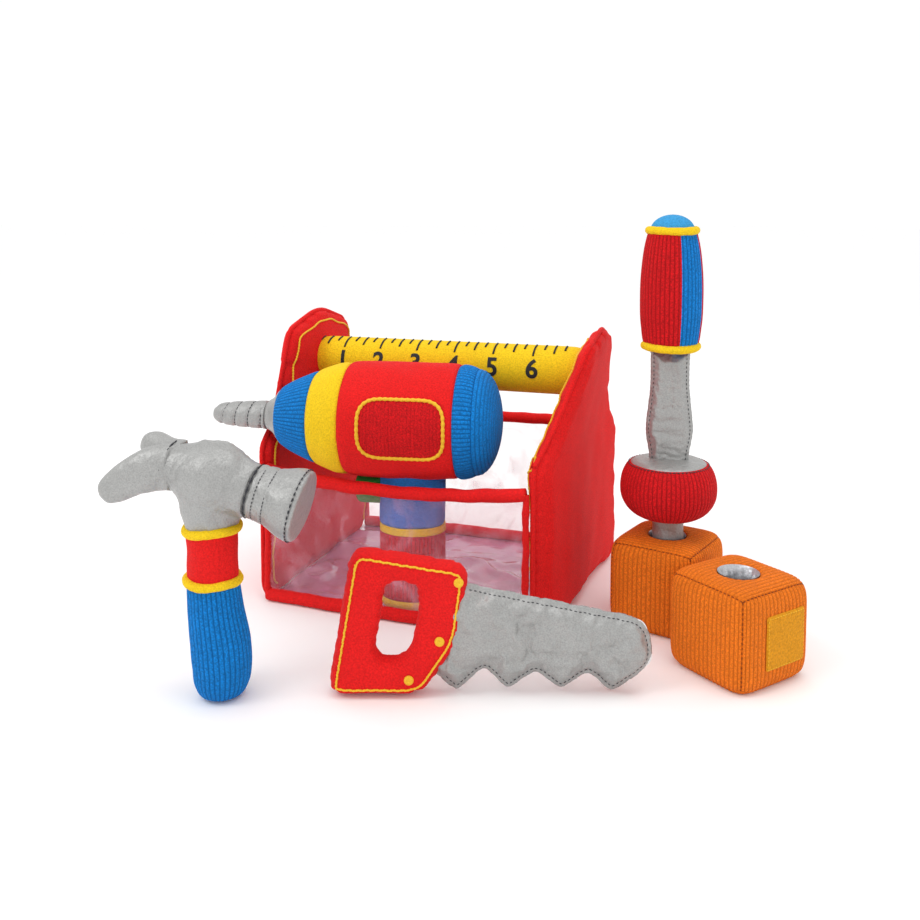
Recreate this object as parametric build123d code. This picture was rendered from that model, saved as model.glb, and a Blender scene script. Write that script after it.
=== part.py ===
from build123d import *
import math
import os

# Plush toolbox set: a soft toolbox with clear sides and a ruler handle, and the soft tools that
# belong in it. Millimetres and degrees. The origin is the centre of the toolbox's underside,
# +X runs along the toolbox to its right end, +Y to its back and +Z up.

# ---------------------------------------------------------------- fabric and fits
fabric = 1.2  # sewn skin with its seam allowance
vinyl = 0.8  # clear sheet of the windows and the floor
layer_gap = 0.2  # between a skin and what fills it
rest_gap = 0.3  # between loose pieces that rest on or beside each other
running_gap = 0.06  # radial, in the turning fits

# ---------------------------------------------------------------- toolbox
box_length = 196.0  # over both end panels
box_depth = 154.0  # between the middles of the two windows
panel_thickness = 10.0
panel_edge_round = 3.5
panel_rim_height = 99.0  # where the end panel's upright edge stops
panel_waist = (62.0, 111.0)  # half width and height of the hollow above the rim
panel_shoulder = (40.0, 167.0)  # half width and height of the shoulder under the peak
panel_peak_height = 180.0
panel_corner_round = 6.0
panel_peak_round = 14.0
front_rim_height = 81.0
back_rim_height = 95.0
binding_radius = 3.6
bar_radius = 15.5
bar_height = 144.0

# ---------------------------------------------------------------- drill
drill_place = (0.0, -57.0)  # plan position of the grip
drill_turn = 10.0  # the nose turned towards the front
drill_axis_height = 117.5
nose_stations = [(-90.5, 9.4), (-87.5, 10.6), (-84.0, 13.8), (-81.4, 17.6)]
flank_stations = [(-81.4, 17.6), (-66.0, 25.5), (-44.0, 33.6), (-8.0, 35.6), (20.0, 35.2)]
cap_start = 32.0
cap_radius = 34.5
cap_length = 25.5
ring_start = nose_stations[-1][0]
band_start = -57.5
barrel_start = -36.5
patch_size = (51.0, 33.0)
patch_centre = (2.0, 1.0)
patch_round = 9.0
patch_thickness = 0.8
grip_radii = (20.5, 16.5)  # along and across the drill
grip_offset = (1.6, 1.5)  # of the grip's middle from the plan position
grip_round = 3.5
grip_band_heights = (49.0, 53.5)  # above the floor of the box
grip_base_height = 8.0
trigger_reach = 16.0
trigger_width = 14.0
trigger_drops = (53.5, 31.5)  # of its ends below the drill's axis
trigger_root = 8.0  # how far its blank runs into the grip
trigger_round = 5.0
bit_stations = [(-125.6, 3.2), (-121.5, 5.9), (-110.0, 7.6), (-100.0, 8.6)]
bit_tip = -126.8
bit_base_radius = 9.2

# ---------------------------------------------------------------- pull-cord vibrator, in the drill
motor_x = -2.0
motor_radius = 20.0
motor_depth = 16.0
motor_wall = 1.6
pin_radius = 2.0
hub_radius = 8.5  # the cord winds on it
drum_flange_radius = 12.5
drum_flange = 1.2
drum_width = 6.4
spring_strip = (0.5, 2.0)  # thickness and width
spring_pitch = 1.8
spring_clearance = 0.8  # from the pin to the first turn
spring_half_turns = 10
weight_radii = (4.0, 15.5)
weight_thickness = 3.0
cord_radius = 0.9

# ---------------------------------------------------------------- hammer
hammer_place = (-47.1, -191.7)
hammer_turn = 10.5
hammer_axis_x = -2.0
grip_stations = [(8.0, 12.9), (20.0, 14.6), (32.0, 14.9), (46.0, 14.1), (58.5, 13.0)]
hammer_base_radius = 12.9
hammer_ring_heights = (60.2, 86.4)
hammer_ring_radius = 2.4
collar_radius = 12.5
trunk_radius = 14.0
head_centre = (-4.0, 112.0)  # above the handle: x and height
head_droop = 15.0
head_stations = [(-21.0, 11.3), (-12.0, 13.6), (0.0, 18.4), (12.0, 17.6), (24.0, 13.7)]
bell_stations = [(24.0, 13.7), (33.0, 15.0), (42.0, 17.4), (48.0, 18.3)]
face_bulge = 2.6
front_prong = [(-20.0, -3.0, 118.5, 9.2, 6.6), (-35.0, -8.0, 116.0, 9.0, 6.2),
               (-46.0, -12.0, 110.5, 7.2, 5.2), (-55.0, -14.0, 104.5, 3.2, 3.0)]
rear_prong = [(-20.0, 3.0, 118.5, 9.2, 6.6), (-31.0, 8.0, 121.0, 7.8, 5.8),
              (-39.0, 12.0, 124.0, 5.4, 4.6), (-45.0, 14.0, 126.5, 2.8, 2.6)]

# ---------------------------------------------------------------- saw
saw_place = (65.7, -149.7)
saw_turn = 19.5
saw_handle_thickness = 13.0
saw_blade_thickness = 9.0
saw_handle_corners = [(-67.6, 0.5), (-18.0, 0.5), (0.5, 28.5), (5.8, 67.5), (-54.5, 77.5), (-59.0, 51.0)]
saw_handle_round = 6.0
saw_hole_ends = [(-29.5, 49.5), (-34.5, 28.5)]
saw_hole_width = 17.0
saw_blade_top = [(-6.0, 59.5), (95.0, 39.0)]
saw_blade_toe = (99.5, 16.0)
saw_teeth = [(76.7, 0.0), (65.0, 11.0), (51.3, 1.6), (38.6, 11.5), (24.1, 1.6), (12.4, 13.5), (-1.5, 0.6), (-14.0, 12.4)]
saw_tooth_round = 2.2
saw_toe_round = 8.0
saw_edge_round = 3.0
crinkle_thickness = 0.5

# ---------------------------------------------------------------- blocks, screw and screwdriver
block_size = 52.0
block_round = 9.0
block_places = {"block_1": ((153.0, -25.0), -15.0), "block_2": ((196.5, -74.5), 52.0)}
hole_radius = 9.6
hole_depth = 34.0
gold_patch = (30.0, 29.0)
gold_patch_centre = (4.5, 25.5)
screw_turn = 7.8  # faces the flat of the blade forwards
shank_length = 45.0
screw_head_stations = [(0.0, 14.0), (4.0, 22.0), (12.0, 27.2), (20.0, 28.0), (28.0, 26.2), (33.0, 23.9)]
screw_top_bulge = 3.0
slot_length = 26.5
slot_depth = 15.0
tip_thickness = 9.0
driver_stations = [(0.0, 14.6), (12.0, 17.2), (31.0, 18.1), (50.0, 17.4), (70.0, 14.4)]
driver_ring_radius = 2.6
driver_cap_radius = 13.0
driver_cap_height = 9.5
blade_length = 67.0  # from the screw's top to the grip
blade_widths = [(0.0, 23.6), (20.0, 24.0), (34.0, 28.4), (47.0, 26.0), (61.0, 23.4)]
blue_gore_centre = -35.0
blue_gore_angle = 60.0

# ---------------------------------------------------------------- shared construction
far = 400.0  # larger than any piece
nodes = {}


def keep(pieces, place=Location()):
    for name, shape in pieces.items():
        solids = [place * solid for solid in shape.solids()]
        nodes[name] = solids[0] if len(solids) == 1 else Compound(children=solids)


def turned(edges):
    """Solid of revolution about X of the area between the edges, in order, and the axis."""
    first, last = edges[0] @ 0, edges[-1] @ 1
    closed = list(edges)
    if first.Y > 1e-6:
        closed.insert(0, Line((first.X, 0), (first.X, first.Y)))
    if last.Y > 1e-6:
        closed.append(Line((last.X, last.Y), (last.X, 0)))
    closed.append(Line((last.X, 0), (first.X, 0)))
    return revolve(make_face(closed), Axis.X, 360)


def upright(shape):
    """Turns what was made along X to stand along Z."""
    return Rot(0, -90, 0) * shape


def inset_curve(stations, inset):
    return Spline(*[(x, r - inset) for x, r in stations])


def quarter_dome(start, length, radius):
    """From the rim at (start, radius) to the axis at start + length, as a quarter of an oval."""
    points = []
    for turn in (0, 30, 60, 90):
        angle = math.radians(turn)
        points.append((start + length * math.sin(angle), radius * math.cos(angle)))
    return Spline(*points, tangents=[(1, 0), (0, -1)])


def shallow_dome(start, length, radius):
    """From a sharp rim at (start, radius) to the axis at start + length."""
    points = [(start, radius), (start + 0.7 * length, 0.55 * radius), (start + length, 0)]
    return Spline(*points, tangents=[(1, -1), (0, -1)])


def between(shape, axis, low, high):
    """The part of a shape between two planes across an axis."""
    middle = (low + high) / 2
    sizes = {"x": (high - low, far, far), "y": (far, high - low, far), "z": (far, far, high - low)}
    places = {"x": (middle, 0, 0), "y": (0, middle, 0), "z": (0, 0, middle)}
    return shape & Pos(*places[axis]) * Box(*sizes[axis])


def rod(start, end, radius):
    """Cylinder from one point to another."""
    run = Line(start, end)
    return extrude(Plane(origin=start, z_dir=run % 0) * Circle(radius), run.length)


def rounded(face, radius):
    return fillet(face.vertices(), radius)


# ---------------------------------------------------------------- toolbox
def end_panel_face(inset):
    """Upright outline in X = 0: square below the rim, hollow above it, a low peak on top."""
    half = box_depth / 2
    side = [(half, 0), (half, panel_rim_height), panel_waist, panel_shoulder]
    mirrored = [(-y, z) for y, z in reversed(side)]
    outline = Polyline(*side, (0, panel_peak_height), *mirrored, close=True)
    face = make_face(outline)
    corners = [v for v in face.vertices() if abs(v.X) > 1]
    face = fillet(corners, panel_corner_round)
    peak = max(face.vertices(), key=lambda v: v.Y)
    face = fillet([peak], panel_peak_round)
    if inset:
        face = offset(face, -inset, kind=Kind.INTERSECTION)
    return Plane.YZ * face


def end_pad(inset):
    half = panel_thickness / 2 - inset
    pad = extrude(end_panel_face(inset), half, both=True)
    rims = pad.faces().filter_by(Axis.X).edges()
    return fillet(rims, panel_edge_round - inset)


def toolbox():
    pieces = {}
    skin = end_pad(0) - end_pad(fabric)
    board = end_pad(fabric + layer_gap)
    panel_x = (box_length - panel_thickness) / 2
    boards = []
    for side, name in ((-1, "left"), (1, "right")):
        place = Pos(side * panel_x, 0, 0)
        halves = {-1: between(skin, "x", -far / 2, 0), 1: between(skin, "x", 0, far / 2)}
        pieces[f"{name}_end_outer_cover"] = place * halves[side]
        pieces[f"{name}_end_inner_cover"] = place * halves[-side]
        boards.append(place * board)
    pieces["end_foam_boards"] = Compound(children=[b.solid() for b in boards])

    inside = box_length / 2 - panel_thickness
    bar = rod((-inside, 0, bar_height), (inside, 0, bar_height), bar_radius)
    core = rod((-inside, 0, bar_height), (inside, 0, bar_height), bar_radius - fabric)
    pieces["handle_cover"] = bar - core
    reach = inside - layer_gap
    pieces["handle_core"] = rod((-reach, 0, bar_height), (reach, 0, bar_height),
                                bar_radius - fabric - layer_gap)

    floor = Pos(0, 0, vinyl / 2) * Box(2 * inside, box_depth, vinyl)
    bindings = []
    for side, name, rim in ((-1, "front", front_rim_height), (1, "back", back_rim_height)):
        y = side * box_depth / 2
        window = Pos(0, y, (rim + binding_radius) / 2) * Box(2 * inside, vinyl, rim - binding_radius)
        pieces[f"{name}_window"] = window
        for z in (rim, binding_radius):
            binding = rod((-inside, y, z), (inside, y, z), binding_radius) - window
            bindings.append(binding.solid())
            floor = floor - binding
    pieces["window_bindings"] = Compound(children=bindings)
    pieces["floor_sheet"] = floor
    return pieces


# ---------------------------------------------------------------- drill, along X about its own axis
def drill_body(inset):
    nose = [(nose_stations[0][0] + inset, nose_stations[0][1])] + nose_stations[1:]
    flank = flank_stations + [(cap_start, cap_radius)]
    return turned([
        inset_curve(nose, inset),
        inset_curve(flank, inset),
        quarter_dome(cap_start, cap_length - inset, cap_radius - inset),
    ])


def drill_grip(inset):
    bottom = vinyl + rest_gap + inset - drill_axis_height
    oval = Pos(*grip_offset, bottom) * Ellipse(grip_radii[0] - inset, grip_radii[1] - inset)
    grip = extrude(oval, -bottom)
    return fillet(grip.edges().sort_by(Axis.Z)[0], grip_round - inset)


def drill_covers():
    body, grip = drill_body(0), drill_grip(0)
    skin = body - drill_body(fabric) - drill_grip(fabric)
    sleeve = grip - drill_grip(fabric) - body
    low = -drill_axis_height
    cord_way = rod((-far / 2, 0, 0), (0, 0, 0), cord_radius + layer_gap)
    pieces = {
        "drill_nose": between(skin, "x", -far / 2, ring_start) - cord_way,
        "drill_chuck_ring": between(skin, "x", ring_start, band_start),
        "drill_chuck_band": between(skin, "x", band_start, barrel_start),
        "drill_barrel_cover": between(skin, "x", barrel_start, cap_start),
        "drill_rear_cap": between(skin, "x", cap_start, far / 2),
        "drill_grip_lower": between(sleeve, "z", low + grip_base_height, low + grip_band_heights[0]),
        "drill_grip_bands": Compound(children=[
            between(sleeve, "z", low, low + grip_base_height).solid(),
            between(sleeve, "z", low + grip_band_heights[0], low + grip_band_heights[1]).solid(),
        ]),
        "drill_grip_upper": between(sleeve, "z", low + grip_band_heights[1], 0),
    }
    label = rounded(Rectangle(*patch_size), patch_round)
    prism = extrude(Plane.XZ * Pos(*patch_centre) * label, far / 2, both=True)
    patches = (drill_body(-patch_thickness) - body) & prism
    pieces["drill_side_patches"] = patches

    front = grip_offset[0] - grip_radii[0]
    bottom, top = (-drop for drop in trigger_drops)
    lever = rounded(Rectangle(trigger_reach + trigger_root, top - bottom), trigger_round)
    lever = Plane.XZ * Pos(front + (trigger_root - trigger_reach) / 2, (bottom + top) / 2) * lever
    lever = Pos(0, grip_offset[1], 0) * extrude(lever, trigger_width / 2, both=True)
    pieces["drill_trigger"] = lever - grip - body

    packed = drill_body(fabric + layer_gap) + drill_grip(fabric + layer_gap)
    pocket = motor_shell(motor_radius + layer_gap, layer_gap)
    pieces["drill_stuffing"] = packed - pocket - cord_way
    return pieces


# ---------------------------------------------------------------- vibrator, across the drill
drum_start = -motor_depth / 2 + motor_wall + layer_gap + spring_strip[1] + layer_gap
drum_end = drum_start + drum_width


def motor_place():
    """The drum's top meets the drill's axis, so that the cord leaves it along that axis."""
    return Pos(motor_x, -(drum_start + drum_end) / 2, -hub_radius - cord_radius)


def motor_disc(radius, start, end):
    """Disc about the drum's own axis, from y = start to y = end."""
    return motor_place() * rod((0, start, 0), (0, end, 0), radius)


def motor_shell(radius, margin):
    half = motor_depth / 2
    return motor_disc(radius, -half - margin, half + motor_wall + margin)


def spiral_spring():
    thickness, width = spring_strip
    strip = None
    for turn in range(spring_half_turns):
        radius = pin_radius + spring_clearance + turn * spring_pitch / 2
        side = 1 if turn % 2 == 0 else -1
        ring = Circle(radius + thickness / 2) - Circle(radius - thickness / 2)
        half = Pos(side * spring_pitch / 4, 0) * (ring & Pos(0, side * far / 4) * Rectangle(far, far / 2))
        strip = half if strip is None else strip + half
    return motor_place() * extrude(Plane.XZ * strip, -width)


def vibrator():
    half = motor_depth / 2
    back, front = -half + motor_wall, half
    cord_slot = rod((-far / 2, 0, 0), (motor_x, 0, 0), cord_radius + layer_gap)
    case = motor_disc(motor_radius, -half, half) - motor_disc(motor_radius - motor_wall, back, front)
    case = case - cord_slot + motor_disc(pin_radius, back, front)
    hub = motor_disc(hub_radius, drum_start, drum_end)
    for start in (drum_start, drum_end - drum_flange):
        hub = hub + motor_disc(drum_flange_radius, start, start + drum_flange)
    bore = motor_disc(pin_radius + running_gap, -half, half)
    half_ring = (Circle(weight_radii[1]) - Circle(weight_radii[0])) & Pos(0, -far / 4) * Rectangle(far, far / 2)
    weight = motor_place() * Pos(0, drum_end, 0) * extrude(Plane.XZ * half_ring, -weight_thickness)
    return {
        "vibrator_case": case,
        "vibrator_lid": motor_disc(motor_radius, half, half + motor_wall),
        "vibrator_spring": Pos(0, back + layer_gap, 0) * spiral_spring(),
        "vibrator_drum": hub - bore,
        "vibrator_weight": weight,
        "pull_cord": rod((nose_stations[0][0] - rest_gap, 0, 0), (motor_x, 0, 0), cord_radius),
    }


def drill_bit():
    base = nose_stations[0][0] - rest_gap
    tip = Spline((bit_tip, 0), *bit_stations, (base, bit_base_radius), tangents=[(0, 1), (1, 0.04)])
    return {"drill_bit": turned([tip])}


# ---------------------------------------------------------------- hammer, standing on its grip
def hammer_handle(inset):
    base = quarter_dome(0, grip_stations[0][0] - inset, hammer_base_radius - inset)
    grip_top = grip_stations[-1][0]
    neck_top = head_centre[1]
    low = Pos(grip_stations[0][0], 0, 0) * Rot(0, 180, 0) * turned([base])
    shaft = turned([
        inset_curve(grip_stations, inset),
        Line((grip_top, grip_stations[-1][1] - inset), (grip_top, collar_radius - inset)),
        Line((grip_top, collar_radius - inset), (neck_top, collar_radius - inset)),
    ])
    return Pos(hammer_axis_x, 0, 0) * upright(low + shaft)


def head_place():
    return Pos(head_centre[0], 0, head_centre[1]) * Rot(0, head_droop, 0)


def hammer_head(inset):
    start = head_stations[0]
    face_start, face_radius = bell_stations[-1]
    profile = turned([
        Line((start[0] + inset, 0), (start[0] + inset, start[1] - inset)),
        inset_curve([(start[0] + inset, start[1])] + head_stations[1:], inset),
        inset_curve(bell_stations, inset),
        shallow_dome(face_start, face_bulge - inset, face_radius - inset),
    ])
    return head_place() * profile


def hammer_trunk(inset):
    low, high = hammer_ring_heights[1], head_centre[1]
    return Pos(hammer_axis_x, 0, 0) * rod((0, 0, low), (0, 0, high), trunk_radius - inset)


def prong(stations):
    """Tapered stuffed finger through (x, y, z, half height, half width) stations."""
    sections = []
    for x, y, z, tall, wide in stations:
        sections.append(Plane(origin=(x, y, z), x_dir=(0, 1, 0), z_dir=(-1, 0, 0)) * Ellipse(wide, tall))
    return loft([section.face() for section in sections])


def ring_at(x, height, major, minor):
    return Pos(x, 0, height) * Torus(major, minor)


def hammer():
    head, trunk, handle = hammer_head(0), hammer_trunk(0), hammer_handle(0)
    low_ring, high_ring = hammer_ring_heights
    head_skin = (head + trunk) - hammer_head(fabric) - hammer_trunk(fabric) - handle_core_way()
    flat = head_place().inverse() * head_skin
    neck_start = head_stations[-1][0]
    face_start = bell_stations[-1][0]
    sleeve = handle - hammer_handle(fabric)
    claws = prong(front_prong) + prong(rear_prong)
    claws = claws - head - trunk
    rings = [ring_at(hammer_axis_x, z, collar_radius, hammer_ring_radius) for z in hammer_ring_heights]
    body = handle + head + trunk
    stuffing = hammer_head(fabric + layer_gap) + hammer_trunk(fabric + layer_gap)
    stuffing = stuffing + hammer_handle(fabric + layer_gap)
    return {
        "hammer_claws": claws,
        "hammer_head_cover": head_place() * between(flat, "x", -far / 2, neck_start),
        "hammer_neck_cover": head_place() * between(flat, "x", neck_start, face_start),
        "hammer_face": head_place() * between(flat, "x", face_start, far / 2),
        "hammer_collar": between(sleeve, "z", low_ring, high_ring),
        "hammer_grip_cover": between(sleeve, "z", 0, low_ring),
        "hammer_rings": Compound(children=[(ring - body).solid() for ring in rings]),
        "hammer_stuffing": stuffing,
    }


def handle_core_way():
    """The stuffing of the handle runs up into the head through this."""
    low = hammer_ring_heights[1]
    return Pos(hammer_axis_x, 0, 0) * rod((0, 0, low), (0, 0, head_centre[1]), collar_radius - fabric)


# ---------------------------------------------------------------- saw, upright in X and Z
def saw_slab(face, thickness, inset):
    slab = extrude(Plane.XZ * face, thickness / 2 - inset, both=True)
    rims = slab.faces().filter_by(Axis.Y).edges()
    return fillet(rims, saw_edge_round - inset)


def saw_handle_face(inset):
    face = rounded(make_face(Polyline(*saw_handle_corners, close=True)), saw_handle_round)
    if inset:
        face = offset(face, -inset, kind=Kind.INTERSECTION)
    (x0, z0), (x1, z1) = saw_hole_ends
    lean = math.degrees(math.atan2(z1 - z0, x1 - x0))
    hole = SlotCenterToCenter(math.hypot(x1 - x0, z1 - z0), saw_hole_width + 2 * inset)
    return face - Pos((x0 + x1) / 2, (z0 + z1) / 2) * Rot(0, 0, lean) * hole


def saw_blade_face(inset):
    face = make_face(Polyline(*saw_blade_top, saw_blade_toe, *saw_teeth, close=True))
    toe = [v for v in face.vertices() if v.X > 90]
    face = fillet(toe, saw_toe_round)
    teeth = [v for v in face.vertices() if -5 < v.X < 90 and v.Y < 15]
    face = fillet(teeth, saw_tooth_round)
    if inset:
        face = offset(face, -inset, kind=Kind.INTERSECTION)
    return face


def saw():
    handle = saw_slab(saw_handle_face(0), saw_handle_thickness, 0)
    handle_skin = handle - saw_slab(saw_handle_face(fabric), saw_handle_thickness, fabric)
    filled = fabric + layer_gap
    foam = saw_slab(saw_handle_face(filled), saw_handle_thickness, filled)
    blade = saw_slab(saw_blade_face(0), saw_blade_thickness, 0) - handle
    blade_skin = blade - saw_slab(saw_blade_face(fabric), saw_blade_thickness, fabric)
    crinkle = extrude(Plane.XZ * saw_blade_face(filled), crinkle_thickness / 2, both=True) - handle
    return {
        "saw_handle_front": between(handle_skin, "y", -far / 2, 0),
        "saw_handle_back": between(handle_skin, "y", 0, far / 2),
        "saw_handle_foam": foam,
        "saw_blade_front": between(blade_skin, "y", -far / 2, 0),
        "saw_blade_back": between(blade_skin, "y", 0, far / 2),
        "saw_crinkle_sheet": crinkle,
    }


# ---------------------------------------------------------------- blocks
def block_cube(inset):
    side = block_size - 2 * inset
    cube = Pos(0, 0, block_size / 2) * Box(side, side, side)
    return fillet(cube.edges(), block_round - inset)


def hole_rod(radius, depth):
    return rod((0, 0, block_size - depth), (0, 0, block_size), radius)


def block(name):
    lining = hole_rod(hole_radius + fabric, hole_depth + fabric) - hole_rod(hole_radius, hole_depth)
    well = hole_rod(hole_radius + fabric, hole_depth + fabric)
    wide_well = hole_rod(hole_radius + fabric + layer_gap, hole_depth + fabric + layer_gap)
    return {
        f"{name}_cover": block_cube(0) - block_cube(fabric) - well,
        f"{name}_hole_lining": lining,
        f"{name}_foam": block_cube(fabric + layer_gap) - wide_well,
    }


def gold_patch_piece():
    x, z = gold_patch_centre
    return Pos(x, -block_size / 2 - fabric / 2, z) * Box(gold_patch[0], fabric, gold_patch[1])


# ---------------------------------------------------------------- screw and screwdriver
screw_foot = block_size - hole_depth + rest_gap
head_foot = screw_foot + shank_length
screw_top = head_foot + screw_head_stations[-1][0]
driver_foot = screw_top + blade_length


def screw_head(inset):
    stations = [(z + head_foot, r) for z, r in screw_head_stations]
    start, end = stations[0], stations[-1]
    side = [(start[0] + inset, start[1])] + stations[1:]
    dome = shallow_dome(end[0], screw_top_bulge - inset, end[1] - inset)
    return upright(turned([inset_curve(side, inset), dome]))


def tip_slot(margin):
    """The slot in the screw's top, or what stands in it when margin is negative."""
    size = (slot_length + 2 * margin, tip_thickness + 2 * (margin + rest_gap), slot_depth + far / 2)
    return Pos(0, 0, screw_top - slot_depth - margin + size[2] / 2) * Box(*size)


def screw():
    skin = screw_head(0) - screw_head(fabric) - tip_slot(0)
    shank_radius = hole_radius - running_gap
    shank = upright(rod((screw_foot, 0, 0), (head_foot, 0, 0), shank_radius))
    return {
        "screw_shank": shank,
        "screw_head_side": between(skin, "z", 0, screw_top),
        "screw_head_top": between(skin, "z", screw_top, far),
        "screw_stuffing": screw_head(fabric + layer_gap) - tip_slot(layer_gap),
    }


def driver_grip(inset):
    stations = [(z + driver_foot, r) for z, r in driver_stations]
    start, end = stations[0], stations[-1]
    side = [(start[0] + inset, start[1])] + stations[1:]
    return upright(turned([
        inset_curve(side, inset),
        Line((end[0], end[1] - inset), (end[0], driver_cap_radius - inset)),
        quarter_dome(end[0], driver_cap_height - inset, driver_cap_radius - inset),
    ]))


def gore(centre, angle):
    """Wedge about Z that cuts one lengthwise panel from the grip."""
    reach = far / 4
    points = [(0, 0)]
    for step in range(3):
        turn = math.radians(centre + (step / 2 - 0.5) * angle)
        points.append((reach * math.cos(turn), reach * math.sin(turn)))
    return extrude(make_face(Polyline(*points, close=True)), far)


def driver_blade():
    foot = screw_top - slot_depth + rest_gap
    right = [(w / 2, foot + z) for z, w in blade_widths]
    right.append((blade_widths[-1][1] / 2, driver_foot + rest_gap))
    left = [(-x, z) for x, z in reversed(right)]
    outline = [Spline(*right), Line(right[-1], left[0]), Spline(*left), Line(left[-1], right[0])]
    return extrude(Plane.XZ * make_face(outline), tip_thickness / 2, both=True)


def screwdriver():
    grip, inner = driver_grip(0), driver_grip(fabric)
    skin = grip - inner
    shell_top = driver_foot + driver_stations[-1][0]
    tube = between(skin, "z", 0, shell_top)
    wedges = [gore(blue_gore_centre - screw_turn + half_turn, blue_gore_angle) for half_turn in (0, 180)]
    blue = [(tube & wedge) for wedge in wedges]
    rings = [ring_at(0, driver_foot + driver_ring_radius, driver_stations[0][1], driver_ring_radius),
             ring_at(0, shell_top, driver_cap_radius, driver_ring_radius)]
    blade = driver_blade() - grip
    red = tube - wedges[0] - wedges[1]
    return {
        "screwdriver_cap": between(skin, "z", shell_top, far),
        "screwdriver_grip_red": red,
        "screwdriver_grip_blue": Compound(children=[solid for half in blue for solid in half.solids()]),
        "screwdriver_rings": Compound(children=[(ring - grip - blade).solid() for ring in rings]),
        "screwdriver_blade": blade,
        "screwdriver_stuffing": driver_grip(fabric + layer_gap),
    }


# ---------------------------------------------------------------- the set, each tool where it stands
keep(toolbox())
drill_location = Pos(*drill_place, drill_axis_height) * Rot(0, 0, drill_turn)
keep(drill_covers(), drill_location)
keep(vibrator(), drill_location)
keep(drill_bit(), drill_location)
keep(hammer(), Pos(*hammer_place, 0) * Rot(0, 0, hammer_turn))
keep(saw(), Pos(*saw_place, 0) * Rot(0, 0, saw_turn))
for block_name, (spot, turn) in block_places.items():
    keep(block(block_name), Pos(*spot, 0) * Rot(0, 0, turn))
second_spot, second_turn = block_places["block_2"]
keep({"block_2_gold_patch": gold_patch_piece()}, Pos(*second_spot, 0) * Rot(0, 0, second_turn))
stand = Pos(*block_places["block_1"][0], 0) * Rot(0, 0, screw_turn)
keep(screw(), stand)
keep(screwdriver(), stand)

os.makedirs("parts", exist_ok=True)
for node_name, node_shape in nodes.items():
    export_step(node_shape, f"parts/{node_name}.step")
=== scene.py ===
import math

import bmesh
import bpy
import numpy as np
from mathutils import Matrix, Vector, geometry
from mathutils.bvhtree import BVHTree


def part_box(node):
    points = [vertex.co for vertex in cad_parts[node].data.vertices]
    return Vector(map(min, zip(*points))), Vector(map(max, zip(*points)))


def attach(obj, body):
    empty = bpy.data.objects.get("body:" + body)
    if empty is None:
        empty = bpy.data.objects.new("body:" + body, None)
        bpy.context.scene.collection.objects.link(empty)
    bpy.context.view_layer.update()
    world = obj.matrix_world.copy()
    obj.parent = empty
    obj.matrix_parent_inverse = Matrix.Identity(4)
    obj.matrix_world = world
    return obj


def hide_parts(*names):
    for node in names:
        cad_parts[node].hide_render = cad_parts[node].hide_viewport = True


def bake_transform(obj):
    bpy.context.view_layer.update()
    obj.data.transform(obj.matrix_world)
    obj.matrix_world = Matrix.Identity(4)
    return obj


# Looks of the plush toolbox set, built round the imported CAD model. Sizes are in millimetres and
# degrees; make() turns points into metres. A wale is one rib of the corduroy.
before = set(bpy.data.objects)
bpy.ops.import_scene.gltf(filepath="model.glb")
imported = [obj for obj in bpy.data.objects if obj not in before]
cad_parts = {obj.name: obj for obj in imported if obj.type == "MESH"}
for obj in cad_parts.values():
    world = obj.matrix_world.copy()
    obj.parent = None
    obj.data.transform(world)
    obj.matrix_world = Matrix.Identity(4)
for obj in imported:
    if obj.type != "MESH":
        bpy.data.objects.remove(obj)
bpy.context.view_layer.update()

METRE = 1000.0
WALE = 2.7  # width of one rib of corduroy
WALE_DEPTH = 0.55
STEPS_PER_WALE = 8
SEAM_DIP = 0.9  # how far fabric dips at a seam
SEAM_WIDTH = 2.6


# ---------------------------------------------------------------- places, read from the frame
class Place:
    """A tool's own frame: an origin, and a turn about the vertical."""

    def __init__(self, origin, turn):
        angle = math.radians(turn)
        self.origin = np.array(origin, float)
        cosine, sine = math.cos(angle), math.sin(angle)
        self.turn = np.array([[cosine, -sine, 0], [sine, cosine, 0], [0, 0, 1]])

    def out(self, points):
        return np.asarray(points, float) @ self.turn.T + self.origin

    def back(self, points):
        return (np.asarray(points, float) - self.origin) @ self.turn


def span(node, place):
    """Lowest and highest corner of a CAD node along a place's own axes."""
    points = [vertex.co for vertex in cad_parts[node].data.vertices]
    local = place.back(np.array(points) * METRE)
    return local.min(0), local.max(0)


def stand(node, turn, middle=(0.0, 0.0), height=0.0):
    """The frame turned by that much in which the plan middle of the node's box is at middle."""
    place = Place((0, 0, 0), turn)
    low, high = span(node, place)
    offset = (low + high) / 2 - np.array([*middle, 0])
    offset[2] = height
    return Place(place.out(offset), turn)


def low_of(node):
    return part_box(node)[0] * METRE


def high_of(node):
    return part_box(node)[1] * METRE


HOME = Place((0, 0, 0), 0)
drill_axis = (low_of("drill_bit")[2] + high_of("drill_bit")[2]) / 2
DRILL = stand("drill_grip_lower", 10.0, (1.6, 1.5), drill_axis)
HAMMER = stand("hammer_collar", 10.5, (-2.0, 0.0))
SAW = stand("saw_handle_foam", 19.5, (-30.7, 0.0))
BLOCK_1 = stand("block_1_cover", -15.0)
BLOCK_2 = stand("block_2_cover", 52.0)
DRIVER = stand("screw_shank", 7.8)


# ---------------------------------------------------------------- lines and surfaces
def unit(vectors):
    return vectors / np.maximum(np.linalg.norm(vectors, axis=-1, keepdims=True), 1e-9)


def resample(points, step, closed=False):
    """The same line with points about step apart."""
    points = np.asarray(points, float)
    if closed:
        points = np.vstack([points, points[:1]])
    run = np.r_[0, np.cumsum(np.linalg.norm(np.diff(points, axis=0), axis=1))]
    count = max(2, int(round(run[-1] / step)) + 1)
    at = np.linspace(0, run[-1], count)
    line = np.stack([np.interp(at, run, points[:, k]) for k in range(points.shape[1])], 1)
    return line[:-1] if closed else line


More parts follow.
